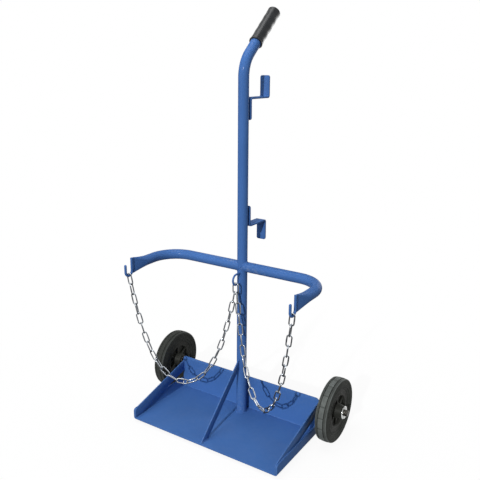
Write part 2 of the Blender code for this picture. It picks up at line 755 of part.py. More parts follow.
def pin_mesh():
    """Split pin down through the axle: eye on top, two legs, their tails bent apart."""
    leg = PIN_WIRE / 2 + GAP
    low = -AXLE_R - PIN_DROP
    spread = PIN_TAIL * math.sin(PIN_SPLAY)
    tail = low - PIN_TAIL * math.cos(PIN_SPLAY)
    eye_z = AXLE_R + PIN_EYE_RADIUS + PIN_WIRE
    open_half = math.asin(leg / PIN_EYE_RADIUS)
    down = -math.pi / 2
    points = [(leg + spread, tail), (leg, low)]
    points += arc((0, eye_z), PIN_EYE_RADIUS, down + open_half, down + 2 * math.pi - open_half, PIN_STEPS)
    points += [(-leg, low), (-leg - spread, tail)]
    path = [Vector((PIN_X, AXLE_Y + y, AXLE_Z + z)) for y, z in points]
    return rod("right_split_pin", path, Vector((1, 0, 0)), PIN_WIRE, PIN_SIDES)


def build_frame(home, cutters, cart):
    """Everything that is welded or pressed on to the frame."""
    strap = strap_mesh()
    arm = arm_mesh(cutters)
    hook = chain_hook_mesh()
    piece("tray", tray_mesh(cutters), PAINT_BLUE, home, cart)
    piece("left_side_strap", mirrored(strap, "strap"), PAINT_BLUE, home, cart, smooth=False)
    piece("right_side_strap", strap, PAINT_BLUE, home, cart, smooth=False)
    pad = pad_mesh()
    piece("left_floor_pad", mirrored(pad, "pad"), PAINT_BLUE, home, cart, smooth=False)
    piece("right_floor_pad", pad, PAINT_BLUE, home, cart, smooth=False)
    piece("front_brace", brace_mesh(), PAINT_BLUE, home, cart, smooth=False)
    piece("mast_tube", mast_mesh(), PAINT_BLUE, home, cart)
    piece("mast_spacer", spacer_mesh(), PAINT_BLUE, home, cart, smooth=False)
    piece("handle_grip", grip_mesh(), GRIP_BLACK, home, cart)
    piece("left_cylinder_arm", mirrored(arm, "arm"), PAINT_BLUE, home, cart)
    piece("right_cylinder_arm", arm, PAINT_BLUE, home, cart)
    piece("left_chain_hook", mirrored(hook, "hook"), PAINT_BLUE, home, cart)
    piece("right_chain_hook", hook, PAINT_BLUE, home, cart)
    piece("mast_chain_eye", eye_mesh(), PAINT_BLUE, home, cart)
    upper = hose_hook_mesh("upper", UPPER_HOSE_Z, UPPER_HOSE_ARM, 1)
    lower = hose_hook_mesh("lower", LOWER_HOSE_Z, LOWER_HOSE_ARM, -1)
    piece("upper_hose_hook", upper, PAINT_BLUE, home, cart)
    piece("lower_hose_hook", lower, PAINT_BLUE, home, cart)
    piece("axle", axle_mesh(cutters), ZINC, home, cart)
    piece("chain_centre_link", centre_link_mesh(), ZINC, home, cart)


def build_chains(home, cutters, cart):
    """Both chains, each on an empty at its hook end, on the line it swings about."""
    mesh = chain_mesh(cutters)
    other = mirrored(mesh, "chain")
    hook, _ = chain_ends()
    for name, shape, x in (("left_chain", mesh, hook.x), ("right_chain", other, -hook.x)):
        pivot = empty(name + "_pivot", home, cart, (x, hook.y, hook.z))
        bpy.context.view_layer.update()
        piece(name, shape, ZINC, home, pivot)


def build_wheels(home, cutters, cart):
    """Both wheels on empties on the axle, and the washers and pins that keep them there."""
    clear = AXLE_R + GAP
    bush_x = WHEEL_X - HUB_HALF
    shapes = (("tyre", tyre_mesh(), TYRE_BLACK), ("wheel_centre", rim_mesh(cutters), CENTRE_BLACK),
              ("bush", sleeve_mesh("bush", bush_x, HUB_LENGTH, clear, clear + BUSH_WALL), BUSH_BROWN))
    inner_x = WHEEL_X - HUB_HALF - GAP - WASHER_THICKNESS
    fixed = (("inner_washer", sleeve_mesh("w", inner_x, WASHER_THICKNESS, clear, INNER_WASHER_OD / 2)),
             ("outer_washer", sleeve_mesh("w", OUTER_WASHER_X, WASHER_THICKNESS, clear, WASHER_OD / 2)),
             ("split_pin", pin_mesh()))
    for side, sign in (("left", -1), ("right", 1)):
        spin = empty(side + "_wheel_axis", home, cart, (sign * WHEEL_X, AXLE_Y, AXLE_Z))
        bpy.context.view_layer.update()
        for name, shape, spec in shapes:
            mesh = shape.copy() if sign > 0 else mirrored(shape, name)
            piece(side + "_" + name, mesh, spec, home, spin)
        for name, shape in fixed:
            mesh = shape.copy() if sign > 0 else mirrored(shape, name)
            piece(side + "_" + name, mesh, ZINC, home, cart)


def centre_on_ground(home, cart):
    """Moves the cart so that the middle of its footprint stands on the origin."""
    bpy.context.view_layer.update()
    solids = [obj for obj in home.objects if obj.type == "MESH"]
    rows = [obj.matrix_world @ v.co for obj in solids for v in obj.data.vertices]
    low = min(p.y for p in rows)
    high = max(p.y for p in rows)
    cart.location.y = -(low + high) / 2
    cart.location.z = -min(p.z for p in rows)
    bpy.context.view_layer.update()


def main():
    """Builds the cart."""
    clear_scene()
    home = collection("gas_cylinder_cart")
    cutters = collection("cutters")
    cart = empty("cart", home)
    build_frame(home, cutters, cart)
    build_chains(home, cutters, cart)
    build_wheels(home, cutters, cart)
    centre_on_ground(home, cart)


main()
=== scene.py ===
"""Looks of the gas cylinder cart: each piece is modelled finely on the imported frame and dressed.

Lengths are metres in the frame's own axes: +X to the right, +Y to the rear, +Z up. Pieces are
modelled with the tray's underside at z = 0 and lifted on to wheels and pads when they are dressed.
"""

import logging
import math
from collections.abc import Callable, Iterable, Sequence
from dataclasses import dataclass, field
from enum import Enum

import bmesh
import bpy
from mathutils import Matrix, Vector


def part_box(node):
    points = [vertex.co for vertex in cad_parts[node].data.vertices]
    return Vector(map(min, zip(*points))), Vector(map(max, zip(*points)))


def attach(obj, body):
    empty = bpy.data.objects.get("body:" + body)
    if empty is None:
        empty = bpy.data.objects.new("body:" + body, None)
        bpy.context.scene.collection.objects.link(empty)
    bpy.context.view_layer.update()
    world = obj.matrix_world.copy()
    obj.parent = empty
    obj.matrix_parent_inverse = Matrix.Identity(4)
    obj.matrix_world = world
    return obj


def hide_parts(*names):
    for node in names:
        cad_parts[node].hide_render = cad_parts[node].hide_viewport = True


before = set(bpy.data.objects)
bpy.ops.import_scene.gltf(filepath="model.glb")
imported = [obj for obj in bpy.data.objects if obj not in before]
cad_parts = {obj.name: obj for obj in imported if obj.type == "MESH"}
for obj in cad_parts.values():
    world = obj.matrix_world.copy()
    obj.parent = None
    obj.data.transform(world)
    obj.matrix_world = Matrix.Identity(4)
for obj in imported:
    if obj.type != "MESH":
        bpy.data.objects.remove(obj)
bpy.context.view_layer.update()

Pair = tuple[float, float]
Triple = tuple[float, float, float]
Section = tuple[Pair, ...]
Piece = bpy.types.Object
Socket = bpy.types.NodeSocket
NodeTree = bpy.types.NodeTree
Inputs = dict[str | int, object]

LOG = logging.getLogger("cart")
FRAME_BODY = "frame"
QUARTER = math.pi / 2
FULL_TURN = 2 * math.pi

# Places nearer than this are the same place
NEAR = 1e-5
# Size of the square that is merged into a profile's first point
SEED = 0.01
# Room between a piece and what carries it
SEAT = 0.0003
# Room under a bar that stands over the tray's inside fold
FOLD_ROOM = 0.0033
SHEET = 0.004
WALL_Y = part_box("tray")[1][1] - SHEET
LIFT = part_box("tray")[0][2]

# Steepest edges, in degrees, that are shaded smooth on plain pieces and on thin round ones
SMOOTH = 38.0
SMOOTH_ROUND = 60.0


class Side(Enum):
    """Side of the cart, seen from the front."""

    LEFT = -1
    RIGHT = 1

    @property
    def word(self) -> str:
        """Name of the side as it stands in the node names."""
        return self.name.lower()


class Tab(Enum):
    """Way that a hose hook's tab points."""

    UP = 1
    DOWN = -1


class Slot(Enum):
    """Material slots of the record."""

    PAINT = "blue_paint"
    GRIP = "grip_black"
    TYRE = "tyre_black"
    CENTRE = "centre_black"
    BUSH = "bush_brown"
    ZINC = "zinc_plate"


class Plating(Enum):
    """State of the zinc on a piece."""

    BRIGHT = "bright_zinc_plate"
    HUNG = "hung_zinc_plate"
    OILED = "oiled_zinc_plate"


class Element(Enum):
    """What is picked in edit mode."""

    POINT = "VERT"
    EDGE = "EDGE"
    FACE = "FACE"


class LampKind(Enum):
    """Kinds of lamp in the studio."""

    SUN = "SUN"
    SOFT = "AREA"


@dataclass(frozen=True)
class Straight:
    """A straight run of bar, in so many parts."""

    length: float
    parts: int = 1


@dataclass(frozen=True)
class Bend:
    """A round bend towards a direction that is square to the bar."""

    radius: float
    angle: float
    toward: Triple
    steps: int = 12


def shifted(section: Section, along: float, out: float) -> list[Pair]:
    """Sets a section down at a place along its axis and at a radius."""
    return [(along + s, out + rise) for s, rise in section]


def mirrored(half: Sequence[Pair]) -> list[Pair]:
    """Gives a profile's other half, which goes on where the first half ends."""
    return [(-s, radius) for s, radius in reversed(half)]


class Bench:
    """One piece on the bench, worked with the operators that a modeller uses by hand."""

    def __init__(self, name: str) -> None:
        """Clears the selection for a new piece.

        Args:
            name: the piece's name.
        """
        self.name = name
        self.at = Vector()
        self.heading = Vector((0, 0, 1))
        self.obj: Piece | None = None
        if bpy.context.object:
            self.leave()
        bpy.ops.object.select_all(action="DESELECT")

    def adopt(self) -> None:
        """Takes the primitive that was just added as this piece, with its place in its mesh."""
        self.obj = bpy.context.object
        self.obj.name = self.name
        self.obj.data.name = self.name
        bpy.ops.object.transform_apply(location=True, rotation=True, scale=True)

    def edit(self) -> None:
        """Goes into edit mode."""
        if bpy.context.object.mode != "EDIT":
            bpy.ops.object.mode_set(mode="EDIT")

    def leave(self) -> None:
        """Goes back to object mode."""
        if bpy.context.object.mode != "OBJECT":
            bpy.ops.object.mode_set(mode="OBJECT")

    def ring(self, radius: float, sides: int, at: Triple, heading: Triple) -> None:
        """Starts with a circle that a round bar or tube grows from.

        Args:
            radius: the bar's radius.
            sides: how many points the circle has.
            at: its middle.
            heading: the direction in which the bar goes on.
        """
        self.at, self.heading = Vector(at), Vector(heading)
        turn = self.heading.to_track_quat("Z", "Y").to_euler()
        bpy.ops.mesh.primitive_circle_add(vertices=sides, radius=radius, fill_type="NOTHING",
                                          location=at, rotation=turn)
        self.adopt()

    def bar_end(self, width: float, thickness: float, at: Triple, heading: Triple) -> None:
        """Starts with the open rectangle that a flat bar grows from; its width lies along X.

        Args:
            width: size along X.
            thickness: size square to X and to the heading.
            at: its middle.
            heading: the direction in which the bar goes on.
        """
        self.at, self.heading = Vector(at), Vector(heading)
        across = Vector((1, 0, 0))
        flat = self.heading.cross(across)
        turn = Matrix((across, flat, self.heading)).transposed().to_euler()
        bpy.ops.mesh.primitive_plane_add(size=1, location=at, rotation=turn)
        bpy.context.object.scale = (width, thickness, 1)
        self.adopt()
        self.edit()
        bpy.ops.mesh.select_all(action="SELECT")
        bpy.ops.mesh.delete(type="ONLY_FACE")

    def block(self, size: Triple, at: Triple, pitch: float = 0.0) -> None:
        """Starts with a block.

        Args:
            size: its three sizes.
            at: its middle.
            pitch: how far it is turned about X.
        """
        bpy.ops.mesh.primitive_cube_add(size=1, location=at, rotation=(pitch, 0, 0), scale=size)
        self.adopt()

    def plate(self, width: float, length: float, at: Triple) -> None:
        """Starts with a level plate of no thickness.

        Args:
            width: size along X.
            length: size along Y.
            at: its middle.
        """
        bpy.ops.mesh.primitive_plane_add(size=1, location=at)
        bpy.context.object.scale = (width, length, 1)
        self.adopt()

    def torus(self, major: float, minor: float, at: Triple, axis: Triple, around: int,
              sides: int) -> None:
        """Starts with a torus.

        Args:
            major: radius of its middle line.
            minor: radius of its section.
            at: its middle.
            axis: the line that it goes round.
            around: points along the middle line.
            sides: points round the section.
        """
        turn = Vector(axis).to_track_quat("Z", "Y").to_euler()
        bpy.ops.mesh.primitive_torus_add(major_radius=major, minor_radius=minor, location=at,
                                         major_segments=around, minor_segments=sides, rotation=turn)
        self.adopt()

    def sweep(self, route: Sequence[Straight | Bend]) -> None:
        """Grows the open end along straights and bends, then closes both ends.

        Args:
            route: the straights and bends in order.
        """
        self.edit()
        bpy.ops.mesh.select_all(action="SELECT")
        for move in route:
            if isinstance(move, Straight):
                for _ in range(move.parts):
                    step = self.heading * (move.length / move.parts)
                    self.extrude(step)
                    self.at = self.at + step
                continue
            toward = Vector(move.toward)
            middle = self.at + toward * move.radius
            bpy.ops.mesh.spin(steps=move.steps, angle=move.angle, center=middle,
                              axis=toward.cross(self.heading))
            cos, sin = math.cos(move.angle), math.sin(move.angle)
            self.at = middle + (self.heading * sin - toward * cos) * move.radius
            self.heading = self.heading * cos + toward * sin
        bpy.ops.mesh.select_all(action="SELECT")
        bpy.ops.mesh.fill_holes(sides=0)
        bpy.ops.mesh.normals_make_consistent(inside=False)

    def lathe(self, profile: Sequence[Pair], at: Triple, axis: Triple, out: Triple,
              steps: int) -> None:
        """Draws a closed profile point by point and spins it once round an axis.

        Args:
            profile: (place along the axis, radius) of each point in order.
            at: the axis's zero.
            axis: the axis's direction.
            out: the direction in which the profile is drawn.
            steps: how many parts the turn has.
        """
        along, away = Vector(axis), Vector(out)
        points = [Vector(at) + along * s + away * r for s, r in profile]
        bpy.ops.mesh.primitive_plane_add(size=SEED, location=points[0])
        self.adopt()
        self.edit()
        bpy.ops.mesh.select_mode(type=Element.POINT.value)
        bpy.ops.mesh.select_all(action="SELECT")
        bpy.ops.mesh.merge(type="CENTER")
        for before, after in zip(points, points[1:]):
            self.extrude(after - before)
        bpy.ops.mesh.select_all(action="SELECT")
        bpy.ops.mesh.edge_face_add()
        bpy.ops.mesh.delete(type="ONLY_FACE")
        bpy.ops.mesh.select_all(action="SELECT")
        bpy.ops.mesh.spin(steps=steps, angle=FULL_TURN, center=at, axis=along, use_auto_merge=True)
        bpy.ops.mesh.select_all(action="SELECT")
        bpy.ops.mesh.remove_doubles(threshold=NEAR)
        bpy.ops.mesh.normals_make_consistent(inside=False)

    def pick(self, element: Element, test: Callable[..., bool]) -> None:
        """Selects the points, edges or faces that pass a test.

        Args:
            element: what is picked.
            test: asked with a point's place, an edge's two ends, or a face's middle and normal.
        """
        self.edit()
        bpy.ops.mesh.select_mode(type=element.value)
        bpy.ops.mesh.select_all(action="DESELECT")
        shape = bmesh.from_edit_mesh(self.obj.data)
        if element is Element.POINT:
            asked = [(vert, (vert.co,)) for vert in shape.verts]
        elif element is Element.EDGE:
            asked = [(edge, [vert.co for vert in edge.verts]) for edge in shape.edges]
        else:
            asked = [(face, (face.calc_center_median(), face.normal)) for face in shape.faces]
        for item, facts in asked:
            if test(*facts):
                item.select_set(True)
        bmesh.update_edit_mesh(self.obj.data)

    def extrude(self, step: Vector | Triple) -> None:
        """Extrudes the selection by a step."""
        bpy.ops.mesh.extrude_region_move(TRANSFORM_OT_translate={"value": step})

    def bevel(self, width: float, segments: int, corners: bool = False) -> None:
        """Rounds the selected edges, or the selected corners of a sheet."""
        kind = "VERTICES" if corners else "EDGES"
        bpy.ops.mesh.bevel(offset=width, segments=segments, affect=kind)

    def cut(self, at: Triple, normal: Triple, drop: bool = True) -> None:
        """Cuts the piece with a plane.

        Args:
            at: a point of the plane.
            normal: the side that is cut away.
            drop: whether that side goes and the cut is closed, or only a line is scored.
        """
        self.edit()
        bpy.ops.mesh.select_all(action="SELECT")
        bpy.ops.mesh.bisect(plane_co=at, plane_no=normal, use_fill=drop, clear_outer=drop)

    def move_points(self, rule: Callable[[Vector], Vector]) -> None:
        """Works every point by hand.

        Args:
            rule: gives a point's new place.
        """
        self.edit()
        shape = bmesh.from_edit_mesh(self.obj.data)
        for vert in shape.verts:
            vert.co = rule(vert.co)
        bmesh.update_edit_mesh(self.obj.data)

    def modifier(self, kind: str, **settings: object) -> None:
        """Adds a modifier and applies it.

        Args:
            kind: the modifier's type.
            settings: its own properties.
        """
        self.leave()
        bpy.ops.object.modifier_add(type=kind)
        step = self.obj.modifiers[-1]
        for key, value in settings.items():
            setattr(step, key, value)
        bpy.ops.object.modifier_apply(modifier=step.name)

    def round_edges(self, width: float, angle: float = 40.0) -> None:
        """Takes the sharpness off every edge over an angle in degrees."""
        self.modifier("BEVEL", width=width, segments=2, limit_method="ANGLE",
                      angle_limit=math.radians(angle), harden_normals=False)

    def outward(self) -> None:
        """Makes every face look outwards."""
        self.edit()
        bpy.ops.mesh.select_mode(type=Element.POINT.value)
        bpy.ops.mesh.select_all(action="SELECT")
        bpy.ops.mesh.normals_make_consistent(inside=False)

    def done(self, angle: float = SMOOTH) -> Piece:
        """Finishes the piece with smooth shading up to an angle.

        Args:
            angle: the steepest edge that is still shaded smooth, in degrees.

        Returns:
            The finished object.
        """
        self.leave()
        bpy.ops.object.shade_smooth_by_angle(angle=math.radians(angle))
        return self.obj


def twin(obj: Piece, name: str, place: Matrix) -> Piece:
    """Copies a piece with its own mesh and sets it down at a place.

    Args:
        obj: the piece that was modelled.
        name: the copy's name.
        place: where the copy goes.

    Returns:
        The copy, with its place in its mesh.
    """
    other = obj.copy()
    other.data = obj.data.copy()
    other.name = name
    other.data.name = name
    other.data.transform(place)
    if place.determinant() < 0:
        other.data.flip_normals()
    bpy.context.scene.collection.objects.link(other)
    return other


def repeat(pattern: Piece, name: str, places: Iterable[Matrix]) -> list[Piece]:
    """Copies a pattern to each of its places and clears it away.

    Args:
        pattern: the piece that was modelled once.
        name: the copies' name.
        places: where the copies go.

    Returns:
        The copies.
    """
    copies = [twin(pattern, name, place) for place in places]
    bpy.data.objects.remove(pattern, do_unlink=True)
    return copies


def join(objects: Sequence[Piece], name: str) -> Piece:
    """Joins pieces into one.

    Args:
        objects: the pieces.
        name: the joined piece's name.

    Returns:
        The joined piece.
    """
    bpy.ops.object.select_all(action="DESELECT")
    for obj in objects:
        obj.select_set(True)
    bpy.context.view_layer.objects.active = objects[0]
    bpy.ops.object.join()
    joined = bpy.context.object
    joined.name = name
    joined.data.name = name
    return joined


def both_sides(right: Piece) -> tuple[tuple[Side, Piece], ...]:
    """Copies a piece of the right side to the left.

    Args:
        right: the piece on the right.

    Returns:
        Each side with its piece.
    """
    across = Matrix.Diagonal((-1, 1, 1, 1))
    left = twin(right, right.name.replace("right", "left"), across)
    return (Side.RIGHT, right), (Side.LEFT, left)


def opaque(value: object) -> object:
    """Gives a colour its alpha; any other value stays as it is."""
    return (*value, 1.0) if isinstance(value, tuple) else value


def by_name(sockets: Iterable[Socket]) -> dict[str, Socket]:
    """Gives sockets by their names."""
    return {socket.name: socket for socket in sockets}


class NodeBoard:
    """Lays nodes on one node tree and wires them; a colour is given by its three parts."""

    def __init__(self, tree: NodeTree) -> None:
        """Takes the tree to work on."""
        self.tree = tree

    def add(self, kind: str, inputs: Inputs | None = None, **settings: object) -> bpy.types.Node:
        """Adds a node.

        Args:
            kind: the node's type.
            inputs: values or sockets for its inputs, by name or number.
            settings: its own properties.

        Returns:
            The node.
        """
        node = self.tree.nodes.new(kind)
        for key, value in settings.items():
            setattr(node, key, value)
        for key, value in (inputs or {}).items():
            if isinstance(value, Socket):
                self.tree.links.new(value, node.inputs[key])
            else:
                node.inputs[key].default_value = opaque(value)
        return node

    def math(self, operation: str, first: object, second: object, clamp: bool = False) -> Socket:
        """Adds a sum of two values and returns its result."""
        settings = {"operation": operation, "use_clamp": clamp}
        return self.add("ShaderNodeMath", {0: first, 1: second}, **settings).outputs[0]

    def blend(self, share: object, low: object, high: object) -> Socket:
        """Mixes two colours by a share and returns the colour."""
        node = self.add("ShaderNodeMix", {0: share, 6: low, 7: high}, data_type="RGBA")
        return node.outputs[2]

    def spread(self, value: object, start: Pair, end: Pair = (0.0, 1.0)) -> Socket:
        """Maps a value from one range to another and returns it."""
        limits = {1: start[0], 2: start[1], 3: end[0], 4: end[1]}
        return self.add("ShaderNodeMapRange", {0: value, **limits}).outputs[0]

    def place(self) -> Socket:
        """Gives the place on the piece."""
        return self.add("ShaderNodeTexCoord").outputs["Object"]

    def noise(self, scale: object, detail: float, roughness: float = 0.5) -> Socket:
        """Adds noise over the piece and returns its value."""
        settings = {"Scale": scale, "Detail": detail, "Roughness": roughness}
        return self.add("ShaderNodeTexNoise", {"Vector": self.place(), **settings}).outputs[0]

    def upward(self) -> Socket:
        """Gives how far the surface looks up, from -1 to 1."""
        facing = self.add("ShaderNodeNewGeometry").outputs["Normal"]
        return self.add("ShaderNodeSeparateXYZ", {0: facing}).outputs["Z"]

    def give(self, **results: Socket) -> NodeTree:
        """Wires a group's results to its outputs and returns the group."""
        self.add("NodeGroupOutput", results)
        return self.tree


class MaterialBoard(NodeBoard):
    """Lays the nodes of one material round its Principled shader."""

    # Part of a grain's or cloud's values that the roughness follows
    FOLLOWED: Pair = (0.3, 0.7)

    def __init__(self, label: str) -> None:
        """Opens a material.

        Args:
            label: the material's name.
        """
        self.material = bpy.data.materials.new(label)
        self.material.use_nodes = True
        super().__init__(self.material.node_tree)
        self.shader = self.tree.nodes["Principled BSDF"]

    def group(self, tree: NodeTree, inputs: Inputs) -> dict[str, Socket]:
        """Places a shared group with this material's own values and returns its results."""
        return by_name(self.add("ShaderNodeGroup", inputs, node_tree=tree).outputs)

    def wire(self, socket: str, value: Socket) -> None:
        """Wires a value to one of the shader's sockets."""
        self.tree.links.new(value, self.shader.inputs[socket])

    def put(self, values: dict[str, float]) -> None:
        """Sets plain values on the shader's own sockets."""
        for socket, value in values.items():
            self.shader.inputs[socket].default_value = value

    def rough(self, roughness: float, swing: float, by: Socket) -> None:
        """Lets the roughness swing a little round its value."""
        limits = (roughness - swing, roughness + swing)
        self.wire("Roughness", self.spread(by, self.FOLLOWED, limits))

    def bump(self, height: Socket, strength: float, distance: float) -> None:
        """Gives the surface a relief."""
        relief = {"Height": height, "Strength": strength, "Distance": distance}
        self.wire("Normal", self.add("ShaderNodeBump", relief).outputs[0])


class Effects:
    """Shader node groups that several finishes share, each built once."""

    # Parts of the noise that count, and how much broader the coarse grain is
    CLOUD: Pair = (0.35, 0.65)
    FLECK: Pair = (0.62, 0.74)
    GATE: Pair = (0.46, 0.60)
    PATCH: Pair = (0.40, 0.70)
    BROAD: float = 0.21

    # Pointiness over which an edge is sharp, and how far up a face with dust looks
    SHARP: float = 0.52
    LYING: Pair = (0.2, 1.0)

    def __init__(self) -> None:
        """Builds the groups."""
        self.tone_drift = self.make_tone_drift()
        self.surface_grain = self.make_surface_grain()
        self.edge_rub = self.make_edge_rub()
        self.settled_dust = self.make_settled_dust()

    @staticmethod
    def start(name: str, inputs: Inputs, outputs: Inputs) -> tuple[NodeBoard, dict[str, Socket]]:
        """Opens a new group with its sockets; a triple of numbers is a colour.

        Args:
            name: the group's name.
            inputs: first value of each input, by name.
            outputs: a value of each output's kind, by name.

        Returns:
            A board to lay the group's nodes with, and what the group is given.
        """
        tree = bpy.data.node_groups.new(name, "ShaderNodeTree")
        for way, sockets in (("INPUT", inputs), ("OUTPUT", outputs)):
            for label, value in sockets.items():
                kind = "NodeSocketColor" if isinstance(value, tuple) else "NodeSocketFloat"
                socket = tree.interface.new_socket(name=label, in_out=way, socket_type=kind)
                socket.default_value = opaque(value)
        board = NodeBoard(tree)
        return board, by_name(board.add("NodeGroupInput").outputs)

    def make_tone_drift(self) -> NodeTree:
        """Lets two tones of one colour drift into each other in soft clouds.

        Returns:
            The group.
        """
        tones = {"Tone": (0.5, 0.5, 0.5), "Other Tone": (0.4, 0.4, 0.4)}
        results = {"Colour": (0.5, 0.5, 0.5), "Cloud": 0.0}
        board, given = self.start("tone_drift", {**tones, "Scale": 6.0}, results)
        cloud = board.noise(given["Scale"], detail=4.0, roughness=0.55)
        share = board.spread(cloud, self.CLOUD)
        colour = board.blend(share, given["Tone"], given["Other Tone"])
        return board.give(Colour=colour, Cloud=share)

    def make_surface_grain(self) -> NodeTree:
        """Makes fine grain or orange peel: a height, and flecks where it is highest.

        Returns:
            The group.
        """
        board, given = self.start("surface_grain", {"Scale": 600.0, "Coarse Share": 0.3},
                                  {"Height": 0.0, "Fleck": 0.0})
        fine = board.noise(given["Scale"], detail=2.0)
        broad = board.noise(board.math("MULTIPLY", given["Scale"], self.BROAD), detail=1.0)
        swell = board.math("MULTIPLY", broad, given["Coarse Share"])
        height = board.math("ADD", fine, swell)
        return board.give(Height=height, Fleck=board.spread(fine, self.FLECK))

    def make_edge_rub(self) -> NodeTree:
        """Masks outer edges and corners, broken up as by rubbing.

        Returns:
            The group.
        """
        board, given = self.start("edge_rub", {"Reach": 0.08, "Scale": 90.0}, {"Mask": 0.0})
        bent = board.add("ShaderNodeNewGeometry").outputs["Pointiness"]
        over = board.math("SUBTRACT", bent, self.SHARP)
        edge = board.math("DIVIDE", over, given["Reach"], clamp=True)
        gate = board.spread(board.noise(given["Scale"], detail=5.0), self.GATE)
        return board.give(Mask=board.math("MULTIPLY", edge, gate))

    def make_settled_dust(self) -> NodeTree:
        """Masks what settles on faces that look up, in patches.

        Returns:
            The group.
        """
        board, given = self.start("settled_dust", {"Amount": 0.3, "Scale": 40.0}, {"Mask": 0.0})
        lying = board.spread(board.upward(), self.LYING)
        patch = board.noise(given["Scale"], detail=6.0, roughness=0.65)
        settled = board.math("MULTIPLY", lying, board.spread(patch, self.PATCH))
        return board.give(Mask=board.math("MULTIPLY", settled, given["Amount"]))


@dataclass(frozen=True)
class Finish:
    """A finish that one slot of the record wears; each kind lays its own nodes."""

    slot: Slot
    tone: Triple
    other_tone: Triple
    roughness: float

    def drift(self, board: MaterialBoard, effects: Effects, scale: float) -> dict[str, Socket]:
        """Places both tones of this finish, drifting at a scale, and returns the results."""
        tones = {"Tone": self.tone, "Other Tone": self.other_tone}
        return board.group(effects.tone_drift, {**tones, "Scale": scale})


@dataclass(frozen=True)
class PaintFinish(Finish):
    """Glossy powder coat with orange peel, light rubbing at the edges and a little dust."""

    rubbed: Triple = (0.16, 0.22, 0.36)
    rub_share: float = 0.45
    dust: Triple = (0.30, 0.33, 0.38)
    gloss: float = 0.12
    gloss_roughness: float = 0.15

    def make(self, effects: Effects) -> bpy.types.Material:
        """Lays the nodes.

        Args:
            effects: the shared groups.

        Returns:
            The material.
        """
        board = MaterialBoard("glossy_blue_powder_coat")
        drift = self.drift(board, effects, scale=9.0)
        grain = board.group(effects.surface_grain, {"Scale": 520.0, "Coarse Share": 0.4})
        rub = board.group(effects.edge_rub, {"Reach": 0.10, "Scale": 140.0})
        dust = board.group(effects.settled_dust, {"Amount": 0.03, "Scale": 60.0})
        rubbing = board.math("MULTIPLY", rub["Mask"], self.rub_share)
        colour = board.blend(rubbing, drift["Colour"], self.rubbed)
        board.wire("Base Color", board.blend(dust["Mask"], colour, self.dust))
        board.rough(self.roughness, swing=0.05, by=grain["Height"])
        board.bump(grain["Height"], strength=0.025, distance=0.0004)
        board.put({"Specular IOR Level": 0.0, "Coat Weight": self.gloss,
                   "Coat Roughness": self.gloss_roughness})
        return board.material


@dataclass(frozen=True)
class ZincFinish(Finish):
    """Bright zinc plating that has dulled in patches, with dark in its pits and painted shade on
    faces that look down.
    """

    pit: Triple = (0.09, 0.09, 0.095)
    pit_share: float = 0.5
    # Painted shade: the colour that faces looking down are blended to, and the upward facing over
    # which the blend runs from full shade to none
    tarnish: Triple = (0.045, 0.048, 0.050)
    tarnished: Pair = (-0.20, 0.75)
    plating: Plating = Plating.HUNG

    def make(self, effects: Effects) -> bpy.types.Material:
        """Lays the nodes.

        Args:
            effects: the shared groups.

        Returns:
            The material.
        """
        board = MaterialBoard(self.plating.value)
        drift = self.drift(board, effects, scale=130.0)
        grain = board.group(effects.surface_grain, {"Scale": 900.0, "Coarse Share": 0.6})
        pits = board.math("MULTIPLY", grain["Fleck"], self.pit_share)
        colour = board.blend(pits, drift["Colour"], self.pit)
        # Painted shade: faces blend towards the painted shade colour the further they look down,
        # whatever light falls on them
        under = board.spread(board.upward(), self.tarnished, (1.0, 0.0))
        board.wire("Base Color", board.blend(under, colour, self.tarnish))
        board.rough(self.roughness, swing=0.07, by=drift["Cloud"])
        board.bump(grain["Height"], strength=0.15, distance=0.0003)
        board.put({"Metallic": 1.0})
        return board.material


@dataclass(frozen=True)
class RubberFinish(Finish):
    """Matte tyre rubber, scuff grey where it runs on the ground, with painted highlight lines on
    its edges and side rings.
    """

    scuff_and_highlight_grey: Triple = (0.126, 0.139, 0.134)
    rub_share: float = 0.35
    patchiness: Pair = (0.65, 1.0)
    shine: float = 0.2

    def make(self, effects: Effects) -> bpy.types.Material:
        """Lays the nodes.

        Args:
            effects: the shared groups.

        Returns:
            The material.
        """
        board = MaterialBoard("matte_tyre_rubber")
        drift = self.drift(board, effects, scale=35.0)
        grain = board.group(effects.surface_grain, {"Scale": 700.0, "Coarse Share": 0.9})
        rub = board.group(effects.edge_rub, {"Reach": 0.12, "Scale": 60.0})
        # This point mark carries scuff on the tread and also painted highlight lines on the tyre's
        # edges and side rings
        rolled_and_highlit = board.add("ShaderNodeAttribute", attribute_name="rolled_and_highlit").outputs["Fac"]
        patchy = board.spread(drift["Cloud"], (0.0, 1.0), self.patchiness)
        grey_share = board.math("MULTIPLY", rolled_and_highlit, patchy)
        rubbing = board.math("MULTIPLY", rub["Mask"], self.rub_share)
        grey = board.math("MAXIMUM", grey_share, rubbing)
        board.wire("Base Color", board.blend(grey, drift["Colour"], self.scuff_and_highlight_grey))
        board.rough(self.roughness, swing=0.08, by=grain["Height"])
        board.bump(grain["Height"], strength=0.30, distance=0.0004)
        board.put({"Specular IOR Level": self.shine})
        return board.material


